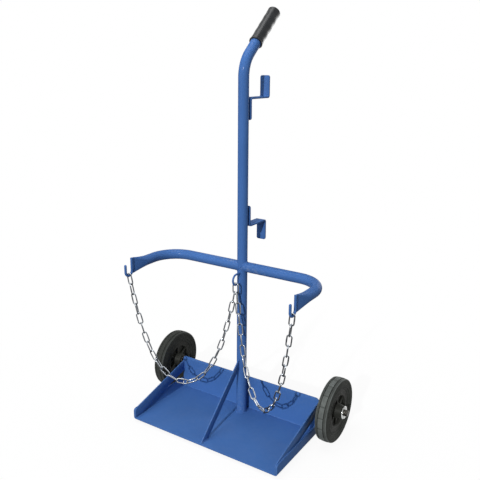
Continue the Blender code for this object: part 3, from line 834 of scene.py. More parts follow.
@dataclass(frozen=True)
class MouldedFinish(Finish):
    """Moulded plastic with a fine grain."""

    label: str = "moulded_black"
    grain: float = 800.0
    relief: float = 0.2
    dust: Triple = (0.11, 0.11, 0.105)
    dusty: float = 0.25
    rub_share: float = 0.3
    shine: float = 0.3

    def make(self, effects: Effects) -> bpy.types.Material:
        """Lays the nodes.

        Args:
            effects: the shared groups.

        Returns:
            The material.
        """
        board = MaterialBoard(self.label)
        drift = self.drift(board, effects, scale=28.0)
        grain = board.group(effects.surface_grain, {"Scale": self.grain, "Coarse Share": 0.5})
        rub = board.group(effects.edge_rub, {"Reach": 0.12, "Scale": 110.0})
        dust = board.group(effects.settled_dust, {"Amount": self.dusty, "Scale": 70.0})
        rubbing = board.math("MULTIPLY", rub["Mask"], self.rub_share)
        grey = board.math("MAXIMUM", dust["Mask"], rubbing)
        board.wire("Base Color", board.blend(grey, drift["Colour"], self.dust))
        board.rough(self.roughness, swing=0.07, by=grain["Height"])
        board.bump(grain["Height"], strength=self.relief, distance=0.0003)
        board.put({"Specular IOR Level": self.shine})
        return board.material


@dataclass
class Wardrobe:
    """One material of each finish."""

    effects: Effects = field(default_factory=Effects)
    materials: dict[Slot, bpy.types.Material] = field(default_factory=dict)
    platings: dict[Plating, bpy.types.Material] = field(default_factory=dict)

    def fill(self) -> None:
        """Makes every finish once."""
        finishes = (
            PaintFinish(Slot.PAINT, (0.048, 0.128, 0.348), (0.0525, 0.138, 0.374), 0.15),
            MouldedFinish(Slot.GRIP, (0.008, 0.009, 0.0105), (0.011, 0.0125, 0.0145), 0.25,
                          label="grip_soft_black", grain=650.0, relief=0.04,
                          dust=(0.03, 0.032, 0.035), dusty=0.08, shine=0.22),
            RubberFinish(Slot.TYRE, (0.013, 0.0145, 0.012), (0.019, 0.0205, 0.0175), 0.66),
            MouldedFinish(Slot.CENTRE, (0.0145, 0.0155, 0.0130), (0.021, 0.022, 0.019), 0.46,
                          label="wheel_centre_black", grain=500.0, relief=0.3,
                          dust=(0.035, 0.036, 0.030), dusty=0.10, shine=0.12),
            MouldedFinish(Slot.BUSH, (0.15, 0.105, 0.07), (0.19, 0.14, 0.10), 0.55,
                          label="bush_brown_plastic", grain=600.0, relief=0.2,
                          dust=(0.28, 0.24, 0.20), dusty=0.2),
        )
        platings = (
            # Each plating paints shade on its downward faces over its own range of facing
            ZincFinish(Slot.ZINC, (0.66, 0.67, 0.66), (0.42, 0.43, 0.42), 0.24,
                       tarnish=(0.16, 0.16, 0.155), tarnished=(-0.90, -0.20),
                       plating=Plating.BRIGHT),
            ZincFinish(Slot.ZINC, (0.47, 0.505, 0.55), (0.30, 0.325, 0.35), 0.20),
            ZincFinish(Slot.ZINC, (0.10, 0.095, 0.085), (0.06, 0.055, 0.048), 0.34,
                       pit=(0.03, 0.03, 0.028), tarnish=(0.03, 0.029, 0.026),
                       plating=Plating.OILED),
        )
        for finish in finishes:
            self.materials[finish.slot] = finish.make(self.effects)
        for finish in platings:
            self.platings[finish.plating] = finish.make(self.effects)

    def dress(self, obj: Piece, slot: Slot, body: str, *nodes: str,
              plating: Plating = Plating.BRIGHT) -> None:
        """Gives a piece its finish, the body it moves with and the nodes it stands for.

        Args:
            obj: the piece.
            slot: the record's slot.
            body: the CAD body.
            nodes: CAD nodes that the piece replaces.
            plating: the state of its zinc, where it is plated.
        """
        obj.data.transform(Matrix.Translation((0, 0, LIFT)))
        obj.data.materials.clear()
        plated = slot is Slot.ZINC
        obj.data.materials.append(self.platings[plating] if plated else self.materials[slot])
        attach(obj, body)
        if nodes:
            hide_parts(*nodes)
        LOG.info("%s: %d faces on %s", obj.name, len(obj.data.polygons), body)

    def paint(self, obj: Piece, *nodes: str) -> None:
        """Dresses a painted piece of the frame, with the nodes it stands for."""
        self.dress(obj, Slot.PAINT, FRAME_BODY, *nodes)


@dataclass
class Weld:
    """Weld beads, rippled as they freeze."""

    thickness: float
    ripple: float = 0.16
    pitch: float = 0.0035
    sides: int = 10
    wave_parts: int = 4
    least_parts: int = 6
    least_waves: int = 8
    blunt: float = 0.02

    def line(self, name: str, start: Triple, end: Triple) -> Piece:
        """Lays a straight bead.

        Args:
            name: the bead's name.
            start: where it begins.
            end: where it ends.

        Returns:
            The bead.
        """
        first = Vector(start)
        run = Vector(end) - first
        ahead = run.normalized()
        parts = max(self.least_parts, round(run.length / self.pitch) * self.wave_parts)
        bench = Bench(name)
        bench.ring(self.thickness, self.sides, start, tuple(ahead))
        bench.sweep([Straight(run.length, parts)])

        def freeze(point: Vector) -> Vector:
            """Swells and rounds the bead along its length.

            Args:
                point: a point of the plain bead.

            Returns:
                Its place on the rippled one.
            """
            s = (point - first).dot(ahead)
            axis = first + ahead * s
            wave = 1 + self.ripple * abs(math.sin(math.pi * s / self.pitch))
            left = min(s, run.length - s) / self.thickness
            tip = math.sqrt(max(self.blunt, 1 - (1 - min(left, 1.0)) ** 2))
            return axis + (point - axis) * wave * tip

        bench.move_points(freeze)
        return bench.done(SMOOTH_ROUND)

    def pair(self, name: str, x: float, start: Pair, end: Pair) -> list[Piece]:
        """Lays the same straight bead on both sides of the cart.

        Args:
            name: the beads' name.
            x: how far out they are.
            start: where they begin, in Y and Z.
            end: where they end, in Y and Z.

        Returns:
            Both beads.
        """
        outs = [side.value * x for side in Side]
        return [self.line(name, (out, *start), (out, *end)) for out in outs]

    def seam(self, name: str, at: Triple, axis: Triple, radius: float,
             shift: Callable[[Vector], Vector] = lambda spine: Vector()) -> Piece:
        """Lays a bead right round a bar or tube.

        Args:
            name: the bead's name.
            at: the ring's middle.
            axis: the bar's direction.
            radius: the bar's radius.
            shift: how a point of the ring moves on to the seam.

        Returns:
            The bead.
        """
        middle, along = Vector(at), Vector(axis).normalized()
        first = along.orthogonal().normalized()
        second = along.cross(first)
        waves = max(self.least_waves, round(FULL_TURN * radius / self.pitch))
        bench = Bench(name)
        bench.torus(radius, self.thickness, at, axis, waves * self.wave_parts, self.sides)

        def freeze(point: Vector) -> Vector:
            """Swells the bead along the ring and moves it on to the seam.

            Args:
                point: a point of the plain ring.

            Returns:
                Its place on the rippled seam.
            """
            flat = point - middle
            flat = flat - along * flat.dot(along)
            angle = math.atan2(flat.dot(second), flat.dot(first))
            spine = middle + flat.normalized() * radius
            wave = 1 + self.ripple * abs(math.sin(waves * angle / 2))
            return spine + shift(spine) + (point - spine) * wave

        bench.move_points(freeze)
        return bench.done(SMOOTH_ROUND)


@dataclass
class Tray:
    """Folded tray with its side straps, its front pads and the brace in front of the mast."""

    mast_front: float

    # Sheet
    half_width: float = 0.268
    depth: float = 0.259
    wall_height: float = 0.118
    flange_height: float = 0.036
    fold: float = 0.005
    fold_steps: int = 5
    wall_corner: float = 0.012
    wall_corner_steps: int = 7
    flange_corner: float = 0.009
    flange_corner_steps: int = 6
    relief: float = 0.0042
    edge: float = 0.0007

    # Straps, brace and pads
    stock: float = 0.518
    strap_thickness: float = 0.004
    strap_width: float = 0.036
    strap_drop: float = 0.015
    strap_nose: float = 0.002
    brace_thickness: float = 0.004
    brace_width: float = 0.025
    brace_top: float = 0.200
    brace_setback: float = 0.003
    pad_size: Triple = (0.060, 0.040, LIFT - SEAT)
    pad_inset: float = 0.030
    pad_corner: float = 0.003

    # Welds
    bead: float = 0.0018
    thin_bead: float = 0.0014
    wall_sink: float = 0.0005
    flange_sink: float = 0.0006
    mast_sink: float = 0.0002
    floor_rise: float = 0.0004
    strap_bead: Pair = (0.034, 0.002)
    flange_bead: Pair = (0.90, 0.72)
    foot_bead: Pair = (0.004, 0.034)
    brace_bead: Pair = (0.032, 0.003)

    @property
    def front(self) -> float:
        """Place of the tray's front in Y."""
        return WALL_Y - self.depth

    @property
    def strap_top(self) -> float:
        """Height of the straps' upper edge at the rear wall."""
        return self.wall_height - self.strap_drop

    def sheet(self) -> Piece:
        """Folds the sheet: floor, side flanges and rear wall.

        Returns:
            The tray.
        """
        half_sheet = SHEET / 2
        side = self.half_width - half_sheet
        rear = WALL_Y + half_sheet
        notch = WALL_Y - self.relief
        bench = Bench("tray_sheet")
        bench.plate(2 * side, rear - self.front, (0, (self.front + rear) / 2, half_sheet))
        bench.cut((0, notch, 0), (0, 1, 0), drop=False)

        def low(a: Vector, b: Vector) -> bool:
            """Whether an edge lies in the floor."""
            return max(a.z, b.z) < half_sheet + NEAR

        def on_side(a: Vector, b: Vector) -> bool:
            """Whether an edge is the floor's side in front of the notch."""
            out = min(abs(a.x), abs(b.x)) > side - NEAR and a.x * b.x > 0
            return out and max(a.y, b.y) < notch + NEAR and low(a, b)

        def on_rear(a: Vector, b: Vector) -> bool:
            """Whether an edge is the floor's rear side."""
            return min(a.y, b.y) > rear - NEAR and low(a, b)

        def at_front(p: Vector) -> bool:
            """Whether a point is the upper front corner of a flange."""
            return abs(p.z - self.flange_height) < NEAR and p.y < self.front + NEAR

        bench.pick(Element.EDGE, on_side)
        bench.extrude((0, 0, self.flange_height - half_sheet))
        bench.pick(Element.EDGE, on_rear)
        bench.extrude((0, 0, self.wall_height - half_sheet))
        bench.pick(Element.EDGE, lambda a, b: on_side(a, b) or on_rear(a, b))
        bench.bevel(self.fold, self.fold_steps)
        bench.pick(Element.POINT, lambda p: p.z > self.wall_height - NEAR)
        bench.bevel(self.wall_corner, self.wall_corner_steps, corners=True)
        bench.pick(Element.POINT, at_front)
        bench.bevel(self.flange_corner, self.flange_corner_steps, corners=True)
        bench.outward()
        bench.modifier("SOLIDIFY", thickness=SHEET, offset=0.0, use_even_offset=True)
        bench.round_edges(self.edge)
        bench.move_points(lambda p: Vector((p.x, p.y, max(p.z, 0.0))))
        return bench.done()

    def flat_bar(self, name: str, x: float, low: Pair, high: Pair, section: Pair) -> Bench:
        """Lays flat bar on edge along a slope, longer than it will be.

        Args:
            name: the bar's name.
            x: its middle in X.
            low: lower end of its upper edge, in Y and Z.
            high: upper end of that edge.
            section: its thickness and its width.

        Returns:
            The bench with the bar on it.
        """
        thickness, width = section
        slope = math.atan2(high[1] - low[1], high[0] - low[0])
        y = (low[0] + high[0]) / 2 + math.sin(slope) * width / 2
        z = (low[1] + high[1]) / 2 - math.cos(slope) * width / 2
        bench = Bench(name)
        bench.block((thickness, self.stock, width), (x, y, z), slope)
        return bench

    def strap(self, side: Side) -> Piece:
        """Cuts one side strap from flat bar.

        Args:
            side: the side that it is on.

        Returns:
            The strap.
        """
        front, rear = self.front + SEAT, WALL_Y - SEAT
        x = side.value * (self.half_width - SHEET - SEAT - self.strap_thickness / 2)
        bench = self.flat_bar(f"{side.word}_strap_bar", x, (front, self.flange_height),
                              (rear, self.strap_top), (self.strap_thickness, self.strap_width))
        bench.cut((0, front, 0), (0, -1, 0))
        bench.cut((0, rear, 0), (0, 1, 0))
        bench.cut((0, 0, SHEET + FOLD_ROOM), (0, 0, -1))
        nose = self.flange_height - self.strap_nose
        bench.pick(Element.EDGE, lambda a, b: max(a.y, b.y) < front + NEAR and min(a.z, b.z) > nose)
        bench.bevel(self.flange_corner, self.flange_corner_steps)
        bench.round_edges(self.edge)
        return bench.done()

    def pad(self, side: Side) -> Piece:
        """Cuts one of the pads that the tray's front stands on.

        Args:
            side: the side that it is on.

        Returns:
            The pad.
        """
        wide, deep, tall = self.pad_size
        x = side.value * (self.half_width - self.pad_inset - wide / 2)
        y = self.front + self.pad_inset + deep / 2
        bench = Bench(f"{side.word}_pad_bar")
        bench.block(self.pad_size, (x, y, -SEAT - tall / 2))
        bench.pick(Element.EDGE, lambda a, b: abs(a.z - b.z) > NEAR)
        bench.bevel(self.pad_corner, segments=4)
        bench.round_edges(self.edge)
        return bench.done()

    def brace(self) -> Piece:
        """Cuts the brace from flat bar and stands it on edge.

        Returns:
            The brace.
        """
        foot = (self.front + self.brace_setback, SHEET + SEAT)
        top = (self.mast_front - SEAT, self.brace_top)
        bench = self.flat_bar("front_brace_bar", 0.0, foot, top,
                              (self.brace_thickness, self.brace_width))
        bench.cut((0, top[0], 0), (0, 1, 0))
        bench.cut((0, 0, foot[1]), (0, 0, -1))
        bench.round_edges(self.edge)
        return bench.done()

    def welds(self) -> Piece:
        """Lays the beads of straps and brace.

        Returns:
            All of them as one piece.
        """
        weld, thin = Weld(self.bead), Weld(self.thin_bead)
        wall = WALL_Y - self.wall_sink
        lip = self.flange_height - self.flange_sink
        floor = SHEET + self.floor_rise
        mast = self.mast_front + self.mast_sink
        foot = self.front + self.brace_setback
        outer = self.half_width - SHEET
        inner = outer - SEAT - self.strap_thickness
        edge = self.brace_thickness / 2
        low, high = (self.strap_top - down for down in self.strap_bead)
        beads = weld.pair("strap_bead", inner, (wall, low), (wall, high))
        near, far = (WALL_Y - share * self.depth for share in self.flange_bead)
        beads += thin.pair("flange_bead", outer, (near, lip), (far, lip))
        near, far = (foot + back for back in self.foot_bead)
        beads += weld.pair("foot_bead", edge, (near, floor), (far, floor))
        low, high = (self.brace_top - down for down in self.brace_bead)
        beads += weld.pair("brace_bead", edge, (mast, low), (mast, high))
        return join(beads, "tray_welds")

    def build(self, wardrobe: Wardrobe) -> None:
        """Builds and dresses the tray's pieces.

        Args:
            wardrobe: the finishes.
        """
        wardrobe.paint(self.sheet(), "tray")
        for side in Side:
            wardrobe.paint(self.strap(side), f"{side.word}_side_strap")
            wardrobe.paint(self.pad(side), f"{side.word}_floor_pad")
        wardrobe.paint(self.brace(), "front_brace")
        wardrobe.paint(self.welds())


@dataclass
class Mast:
    """Upright tube with the bent handle, its grip and the web behind its foot."""

    # Tube
    radius: float = 0.016
    sides: int = 48
    y: float = WALL_Y - 0.030
    bend_z: float = 1.075
    bend_radius: float = 0.090
    lean: float = math.radians(48.5)
    bare: float = 0.043

    # Grip, with its sections as (place along it, rise)
    grip_length: float = 0.140
    grip_radius: float = 0.0195
    grip_steps: int = 64
    grip_lip: float = 0.0012
    grip_cap: float = 0.006
    lip_section: Section = ((0, -0.0008), (0.0003, -0.0002), (0.001, 0), (0.0034, 0),
                            (0.0042, -0.0003))
    lip_foot: Section = ((0.0050, 0.0004), (0.0060, -0.0004))
    cap_section: Section = ((-0.0065, 0.0002), (-0.0054, 0.0005), (-0.0042, 0.0006),
                            (-0.0030, 0.0003), (-0.0016, -0.0007), (-0.0006, -0.0022),
                            (-0.0001, -0.0040), (0, -0.0058))
    grip_waves: int = 4
    wave_parts: int = 12
    wave_start: float = 0.0075
    wave_stop: float = 0.0085
    wave_base: float = 0.0003
    wave_crest: float = 0.0005
    wave_depth: float = 0.0016
    wave_round: float = 0.35

    # Web and welds
    web_thickness: float = 0.006
    web_height: float = 0.080
    web_corner: float = 0.0012
    web_edge: float = 0.0005
    foot_bead: float = 0.0018
    foot_room: float = 0.0006
    web_bead: float = 0.0016
    web_sink: float = 0.0004
    web_bead_ends: Pair = (0.010, 0.004)

    @property
    def front(self) -> float:
        """Place of the tube's front in Y."""
        return self.y - self.radius

    @property
    def back(self) -> float:
        """Place of the tube's back in Y."""
        return self.y + self.radius

    @property
    def ahead(self) -> Vector:
        """Direction of the handle above its bend."""
        return Vector((0, math.sin(self.lean), math.cos(self.lean)))

    @property
    def bend_end(self) -> Vector:
        """Where the handle's bend ends."""
        back = self.bend_radius * (1 - math.cos(self.lean))
        return Vector((0, self.y + back, self.bend_z + self.bend_radius * math.sin(self.lean)))

    def tube(self) -> Piece:
        """Bends the tube.

        Returns:
            The tube.
        """
        low = SHEET + SEAT
        bench = Bench("mast_bent_tube")
        bench.ring(self.radius, self.sides, (0, self.y, low), (0, 0, 1))
        bench.sweep([Straight(self.bend_z - low, parts=6),
                     Bend(self.bend_radius, self.lean, (0, 1, 0), steps=18),
                     Straight(self.bare + self.grip_length - self.grip_cap - SEAT)])
        return bench.done()

    def grip(self) -> Piece:
        """Turns the grip, then presses shallow finger waves into its underside.

        Returns:
            The grip.
        """
        bore = self.radius + SEAT
        r, end = self.grip_radius, self.grip_length
        first, last = self.wave_start, end - self.wave_stop
        parts = self.wave_parts * self.grip_waves
        profile = [(0, bore)] + shifted(self.lip_section, 0, r + self.grip_lip)
        profile += shifted(self.lip_foot, 0, r)
        for i in range(parts + 1):
            profile.append((first + (last - first) * i / parts, r - self.wave_base))
        profile += shifted(self.cap_section, end, r)
        profile += [(end, 0), (end - self.grip_cap, 0), (end - self.grip_cap, bore)]
        start = self.bend_end + self.ahead * self.bare
        under = Vector((0, math.cos(self.lean), -math.sin(self.lean)))
        bench = Bench("handle_sleeve")
        bench.lathe(profile, tuple(start), tuple(self.ahead), tuple(under), self.grip_steps)

        def press(point: Vector) -> Vector:
            """Lowers the waves' valleys, most on the underside.

            Args:
                point: a point of the plain grip.

            Returns:
                Its place on the waved one.
            """
            s = (point - start).dot(self.ahead)
            axis = start + self.ahead * s
            away = point - axis
            if not first <= s <= last or away.length < bore + NEAR:
                return point
            turn = (s - first) / (last - first) * self.grip_waves * FULL_TURN
            facing = max(0.0, away.normalized().dot(under))
            share = self.wave_round + (1 - self.wave_round) * facing
            depth = self.wave_depth * (1 - math.cos(turn)) / 2 * share
            return axis + away * (1 + (self.wave_crest - depth) / away.length)

        bench.move_points(press)
        return bench.done()

    def web(self) -> Piece:
        """Cuts the web between the foot and the rear wall.

        Returns:
            The web.
        """
        low, high = self.back + SEAT, WALL_Y - SEAT
        foot, top = SHEET + FOLD_ROOM, SHEET + self.web_height
        bench = Bench("mast_web")
        bench.block((self.web_thickness, high - low, top - foot),
                    (0, (low + high) / 2, (foot + top) / 2))
        bench.pick(Element.EDGE,
                   lambda a, b: min(a.z, b.z) > top - NEAR and abs(a.y - b.y) < NEAR)
        bench.bevel(self.web_corner, segments=3)
        bench.round_edges(self.web_edge)
        return bench.done()

    def welds(self) -> Piece:
        """Lays the bead round the foot and those beside the web.

        Returns:
            All of them as one piece.
        """
        beads = [Weld(self.foot_bead).seam("foot_bead", (0, self.y, SHEET), (0, 0, 1),
                                           self.radius + self.foot_room)]
        y = WALL_Y - self.web_sink
        low = SHEET + self.web_bead_ends[0]
        high = SHEET + self.web_height - self.web_bead_ends[1]
        beads += Weld(self.web_bead).pair("web_bead", self.web_thickness / 2, (y, low), (y, high))
        return join(beads, "mast_welds")

    def build(self, wardrobe: Wardrobe) -> None:
        """Builds and dresses the mast's pieces.

        Args:
            wardrobe: the finishes.
        """
        wardrobe.paint(self.tube(), "mast_tube")
        wardrobe.dress(self.grip(), Slot.GRIP, FRAME_BODY, "handle_grip")
        wardrobe.paint(self.web(), "mast_spacer")
        wardrobe.paint(self.welds())


@dataclass
class CylinderArms:
    """The two arms round the cylinders, with the hook at each end and the eye on the mast."""

    mast: Mast

    # Arms
    level: float = 0.509
    half_span: float = 0.287
    reach: float = 0.1837
    bend_radius: float = 0.085
    root: float = 0.004
    taper: float = 0.058
    flat_run: float = 0.004
    flat_thickness: float = 0.0046
    flat_wall: float = 0.002
    flat_edge: float = 0.0005
    flat_edge_angle: float = 60.0
    slit_depth: float = 0.012
    tube_sides: int = 48
    middle_band: float = 1e-4
    facing_front: float = -0.9

    # Hooks and eye
    hook_rod: float = 0.008
    hook_bend: float = 0.014
    hook_drop: float = 0.0403
    hook_tip: float = 0.024
    tip_round: float = 0.0034
    shank_edge: float = 0.0006
    eye_rod: float = 0.006
    eye_bend: float = 0.0165
    eye_below: float = 0.0345
    eye_reach: float = 0.036
    rod_sides: int = 20
    bend_steps: int = 24

    # Welds
    arm_bead: float = 0.0016
    hook_bead: float = 0.0014
    hook_bead_ends: Pair = (0.040, 0.004)
    hook_sink: float = 0.0002
    eye_bead: float = 0.0015
    eye_room: float = 0.0004

    @property
    def flat_height(self) -> float:
        """Height of the flattened end: half the tube's girth."""
        return math.pi * self.mast.radius

    @property
    def flat_top(self) -> float:
        """Level of the flattened end's upper edge."""
        return self.level + self.flat_height / 2

    @property
    def end_y(self) -> float:
        """Place of the arms' ends in Y."""
        return self.mast.y - self.reach

    @property
    def hook_middle(self) -> Pair:
        """Middle of the hook's bend in Y and Z."""
        shank = self.end_y - SEAT - self.hook_rod / 2
        return shank - self.hook_bend, self.flat_top - self.hook_drop

    @property
    def eye_z(self) -> float:
        """Level of the eye's middle."""
        return self.level - self.eye_below

    def arm(self, side: Side) -> Piece:
        """Bends one arm and flattens its end upright.

        Args:
            side: the side that it is on.

        Returns:
            The arm.
        """
        sign, r = side.value, self.mast.radius
        x = sign * self.half_span
        bend_y = self.mast.y - self.bend_radius
        taper_y = self.end_y + self.flat_run + self.taper
        bench = Bench(f"{side.word}_bent_arm")
        bench.ring(r, self.tube_sides, (sign * self.root, self.mast.y, self.level), (sign, 0, 0))
        bench.sweep([Straight(self.half_span - self.bend_radius - self.root, parts=3),
                     Bend(self.bend_radius, QUARTER, (0, -1, 0), self.bend_steps),
                     Straight(bend_y - taper_y, parts=2), Straight(self.taper, parts=12),
                     Straight(self.flat_run, parts=2)])

        def flatten(point: Vector) -> Vector:
            """Presses the round section into a flat one towards the end.

            Args:
                point: a point of the round tube.

            Returns:
                Its place on the pressed one.
            """
            share = min(1.0, max(0.0, (taper_y - point.y) / self.taper))
            if share <= 0 or abs(point.x - x) > r + NEAR:
                return point
            share = share * (1 + share) / 2
            thick = r + (self.flat_thickness / 2 - r) * share
            tall = r + (self.flat_height / 2 - r) * share
            sine = (point.z - self.level) / r
            lift = 0.0 if abs(sine) < self.middle_band else math.copysign(tall - thick, sine)
            across = (point.x - x) * thick / r
            return Vector((x + across, point.y, self.level + sine * thick + lift))

        def at_end(middle: Vector, normal: Vector) -> bool:
            """Whether a face closes the flattened end."""
            return normal.y < self.facing_front and middle.y < self.end_y + NEAR

        bench.move_points(flatten)
        bench.pick(Element.FACE, at_end)
        bpy.ops.mesh.inset(thickness=self.flat_wall, depth=0)
        bench.extrude((0, self.slit_depth, 0))
        bench.outward()
        bench.round_edges(self.flat_edge, self.flat_edge_angle)
        return bench.done()

    def hook(self, side: Side) -> Piece:
        """Bends one hook from round bar and rounds its tip.

        Args:
            side: the side that it is on.

        Returns:
            The hook.
        """
        middle_y, middle_z = self.hook_middle
        top, tip = self.flat_top, middle_z + self.hook_tip
        at = (side.value * self.half_span, middle_y + self.hook_bend, top)
        bench = Bench(f"{side.word}_bent_hook")
        bench.ring(self.hook_rod / 2, self.rod_sides, at, (0, 0, -1))
        bench.sweep([Straight(top - middle_z, parts=3),
                     Bend(self.hook_bend, math.pi, (0, -1, 0), self.bend_steps),
                     Straight(self.hook_tip, parts=2)])
        bench.pick(Element.EDGE,
                   lambda a, b: min(a.z, b.z) > tip - NEAR and max(a.y, b.y) < middle_y - NEAR)
        bench.bevel(self.tip_round, segments=5)
        bench.pick(Element.EDGE, lambda a, b: min(a.z, b.z) > top - NEAR)
        bench.bevel(self.shank_edge, segments=2)
        return bench.done()

    def eye(self) -> Piece:
        """Bends the eye that stands on the mast's front.

        Returns:
            The eye.
        """
        at = (0, self.mast.front - SEAT, self.eye_z + self.eye_bend)
        run = self.eye_reach - self.eye_bend - SEAT
        bench = Bench("mast_bent_eye")
        bench.ring(self.eye_rod / 2, self.rod_sides, at, (0, -1, 0))
        leg = Straight(run, parts=2)
        bench.sweep([leg, Bend(self.eye_bend, math.pi, (0, 0, -1), self.bend_steps), leg])
        return bench.done()

    def welds(self) -> Piece:
        """Lays the beads of arms, hooks and eye.

        Returns:
            All of them as one piece.
        """
        middle = (0, self.mast.y, self.level)
        y = self.end_y - self.hook_sink
        low, high = (self.flat_top - down for down in self.hook_bead_ends)
        beads = []
        for side in Side:
            def on_mast(point: Vector, sign: int = side.value) -> Vector:
                """Moves the ring out on to the mast."""
                return Vector((sign * abs(point.z - self.level), 0, 0))

            beads.append(Weld(self.arm_bead).seam("arm_bead", middle, (1, 0, 0), self.mast.radius,
                                                  on_mast))
        for way in (1, -1):
            x = self.half_span + way * self.flat_thickness / 2
            beads += Weld(self.hook_bead).pair("hook_bead", x, (y, low), (y, high))
            at = (0, self.mast.front, self.eye_z + way * self.eye_bend)
            beads.append(Weld(self.eye_bead).seam("eye_bead", at, (0, 1, 0),
                                                  self.eye_rod / 2 + self.eye_room))
        return join(beads, "arm_welds")

    def build(self, wardrobe: Wardrobe) -> None:
        """Builds and dresses arms, hooks and eye.

        Args:
            wardrobe: the finishes.
        """
        for side in Side:
            wardrobe.paint(self.arm(side), f"{side.word}_cylinder_arm")
            wardrobe.paint(self.hook(side), f"{side.word}_chain_hook")
        wardrobe.paint(self.eye(), "mast_chain_eye")
        wardrobe.paint(self.welds())


@dataclass
class HoseHooks:
    """The two flat bar hooks that hoses are hung on, behind the mast."""

    mast: Mast
    width: float = 0.032
    thickness: float = 0.005
    bend: float = 0.006
    bend_steps: int = 8
    leg: float = 0.062
    tab: float = 0.064
    corner: float = 0.006
    corner_steps: int = 6
    edge: float = 0.0006
    upper_level: float = 1.0165
    upper_arm: float = 0.101
    lower_level: float = 0.636
    lower_arm: float = 0.092

    # Welds
    bead: float = 0.0022
    bead_x: float = 0.0065
    bead_sink: float = 0.0008
    bead_ends: Pair = (0.008, 0.012)

    def hook(self, name: str, level: float, arm: float, way: Tab) -> Piece:
        """Bends one hook and rounds the corners of its two ends.

        Args:
            name: the piece's name.
            level: height of the arm's middle.
            arm: length of the arm.
            way: where its tab points.

        Returns:
            The hook.
        """
        up = way.value
        leg_y = self.mast.back + SEAT + self.thickness / 2
        foot, tip = level - up * self.leg, level + up * self.tab
        bench = Bench(name)
        bench.bar_end(self.width, self.thickness, (0, leg_y, foot), (0, 0, up))
        bench.sweep([Straight(self.leg - self.bend, parts=2),
                     Bend(self.bend, QUARTER, (0, 1, 0), self.bend_steps),
                     Straight(arm - 2 * self.bend, parts=2),
                     Bend(self.bend, QUARTER, (0, 0, up), self.bend_steps),
                     Straight(self.tab - self.bend, parts=2)])

        def end_corner(a: Vector, b: Vector) -> bool:
            """Whether an edge is one of the four corners through the bar's thickness."""
            at_end = all(min(abs(p.z - foot), abs(p.z - tip)) < NEAR for p in (a, b))
            return at_end and abs(a.x - b.x) < NEAR and abs(a.y - b.y) > self.thickness / 2

        bench.pick(Element.EDGE, end_corner)
        bench.bevel(self.corner, self.corner_steps)
        bench.round_edges(self.edge)
        return bench.done()

    def welds(self) -> Piece:
        """Lays the beads between the legs and the mast.

        Returns:
            All of them as one piece.
        """
        y = self.mast.back + SEAT - self.bead_sink
        foot, top = self.leg - self.bead_ends[0], self.bead_ends[1]
        beads = []
        for level, way in ((self.upper_level, Tab.UP), (self.lower_level, Tab.DOWN)):
            start, end = level - way.value * foot, level - way.value * top
            beads += Weld(self.bead).pair("leg_bead", self.bead_x, (y, start), (y, end))
        return join(beads, "hose_hook_welds")

    def build(self, wardrobe: Wardrobe) -> None:
        """Builds and dresses both hooks.

        Args:
            wardrobe: the finishes.
        """
        upper = self.hook("upper_bent_hook", self.upper_level, self.upper_arm, Tab.UP)
        lower = self.hook("lower_bent_hook", self.lower_level, self.lower_arm, Tab.DOWN)
        wardrobe.paint(upper, "upper_hose_hook")
        wardrobe.paint(lower, "lower_hose_hook")
        wardrobe.paint(self.welds())


@dataclass(frozen=True)
class Hang:
    """How one chain hangs: where its links look, and how far the first one is rolled."""

    look: float
    first_roll: float


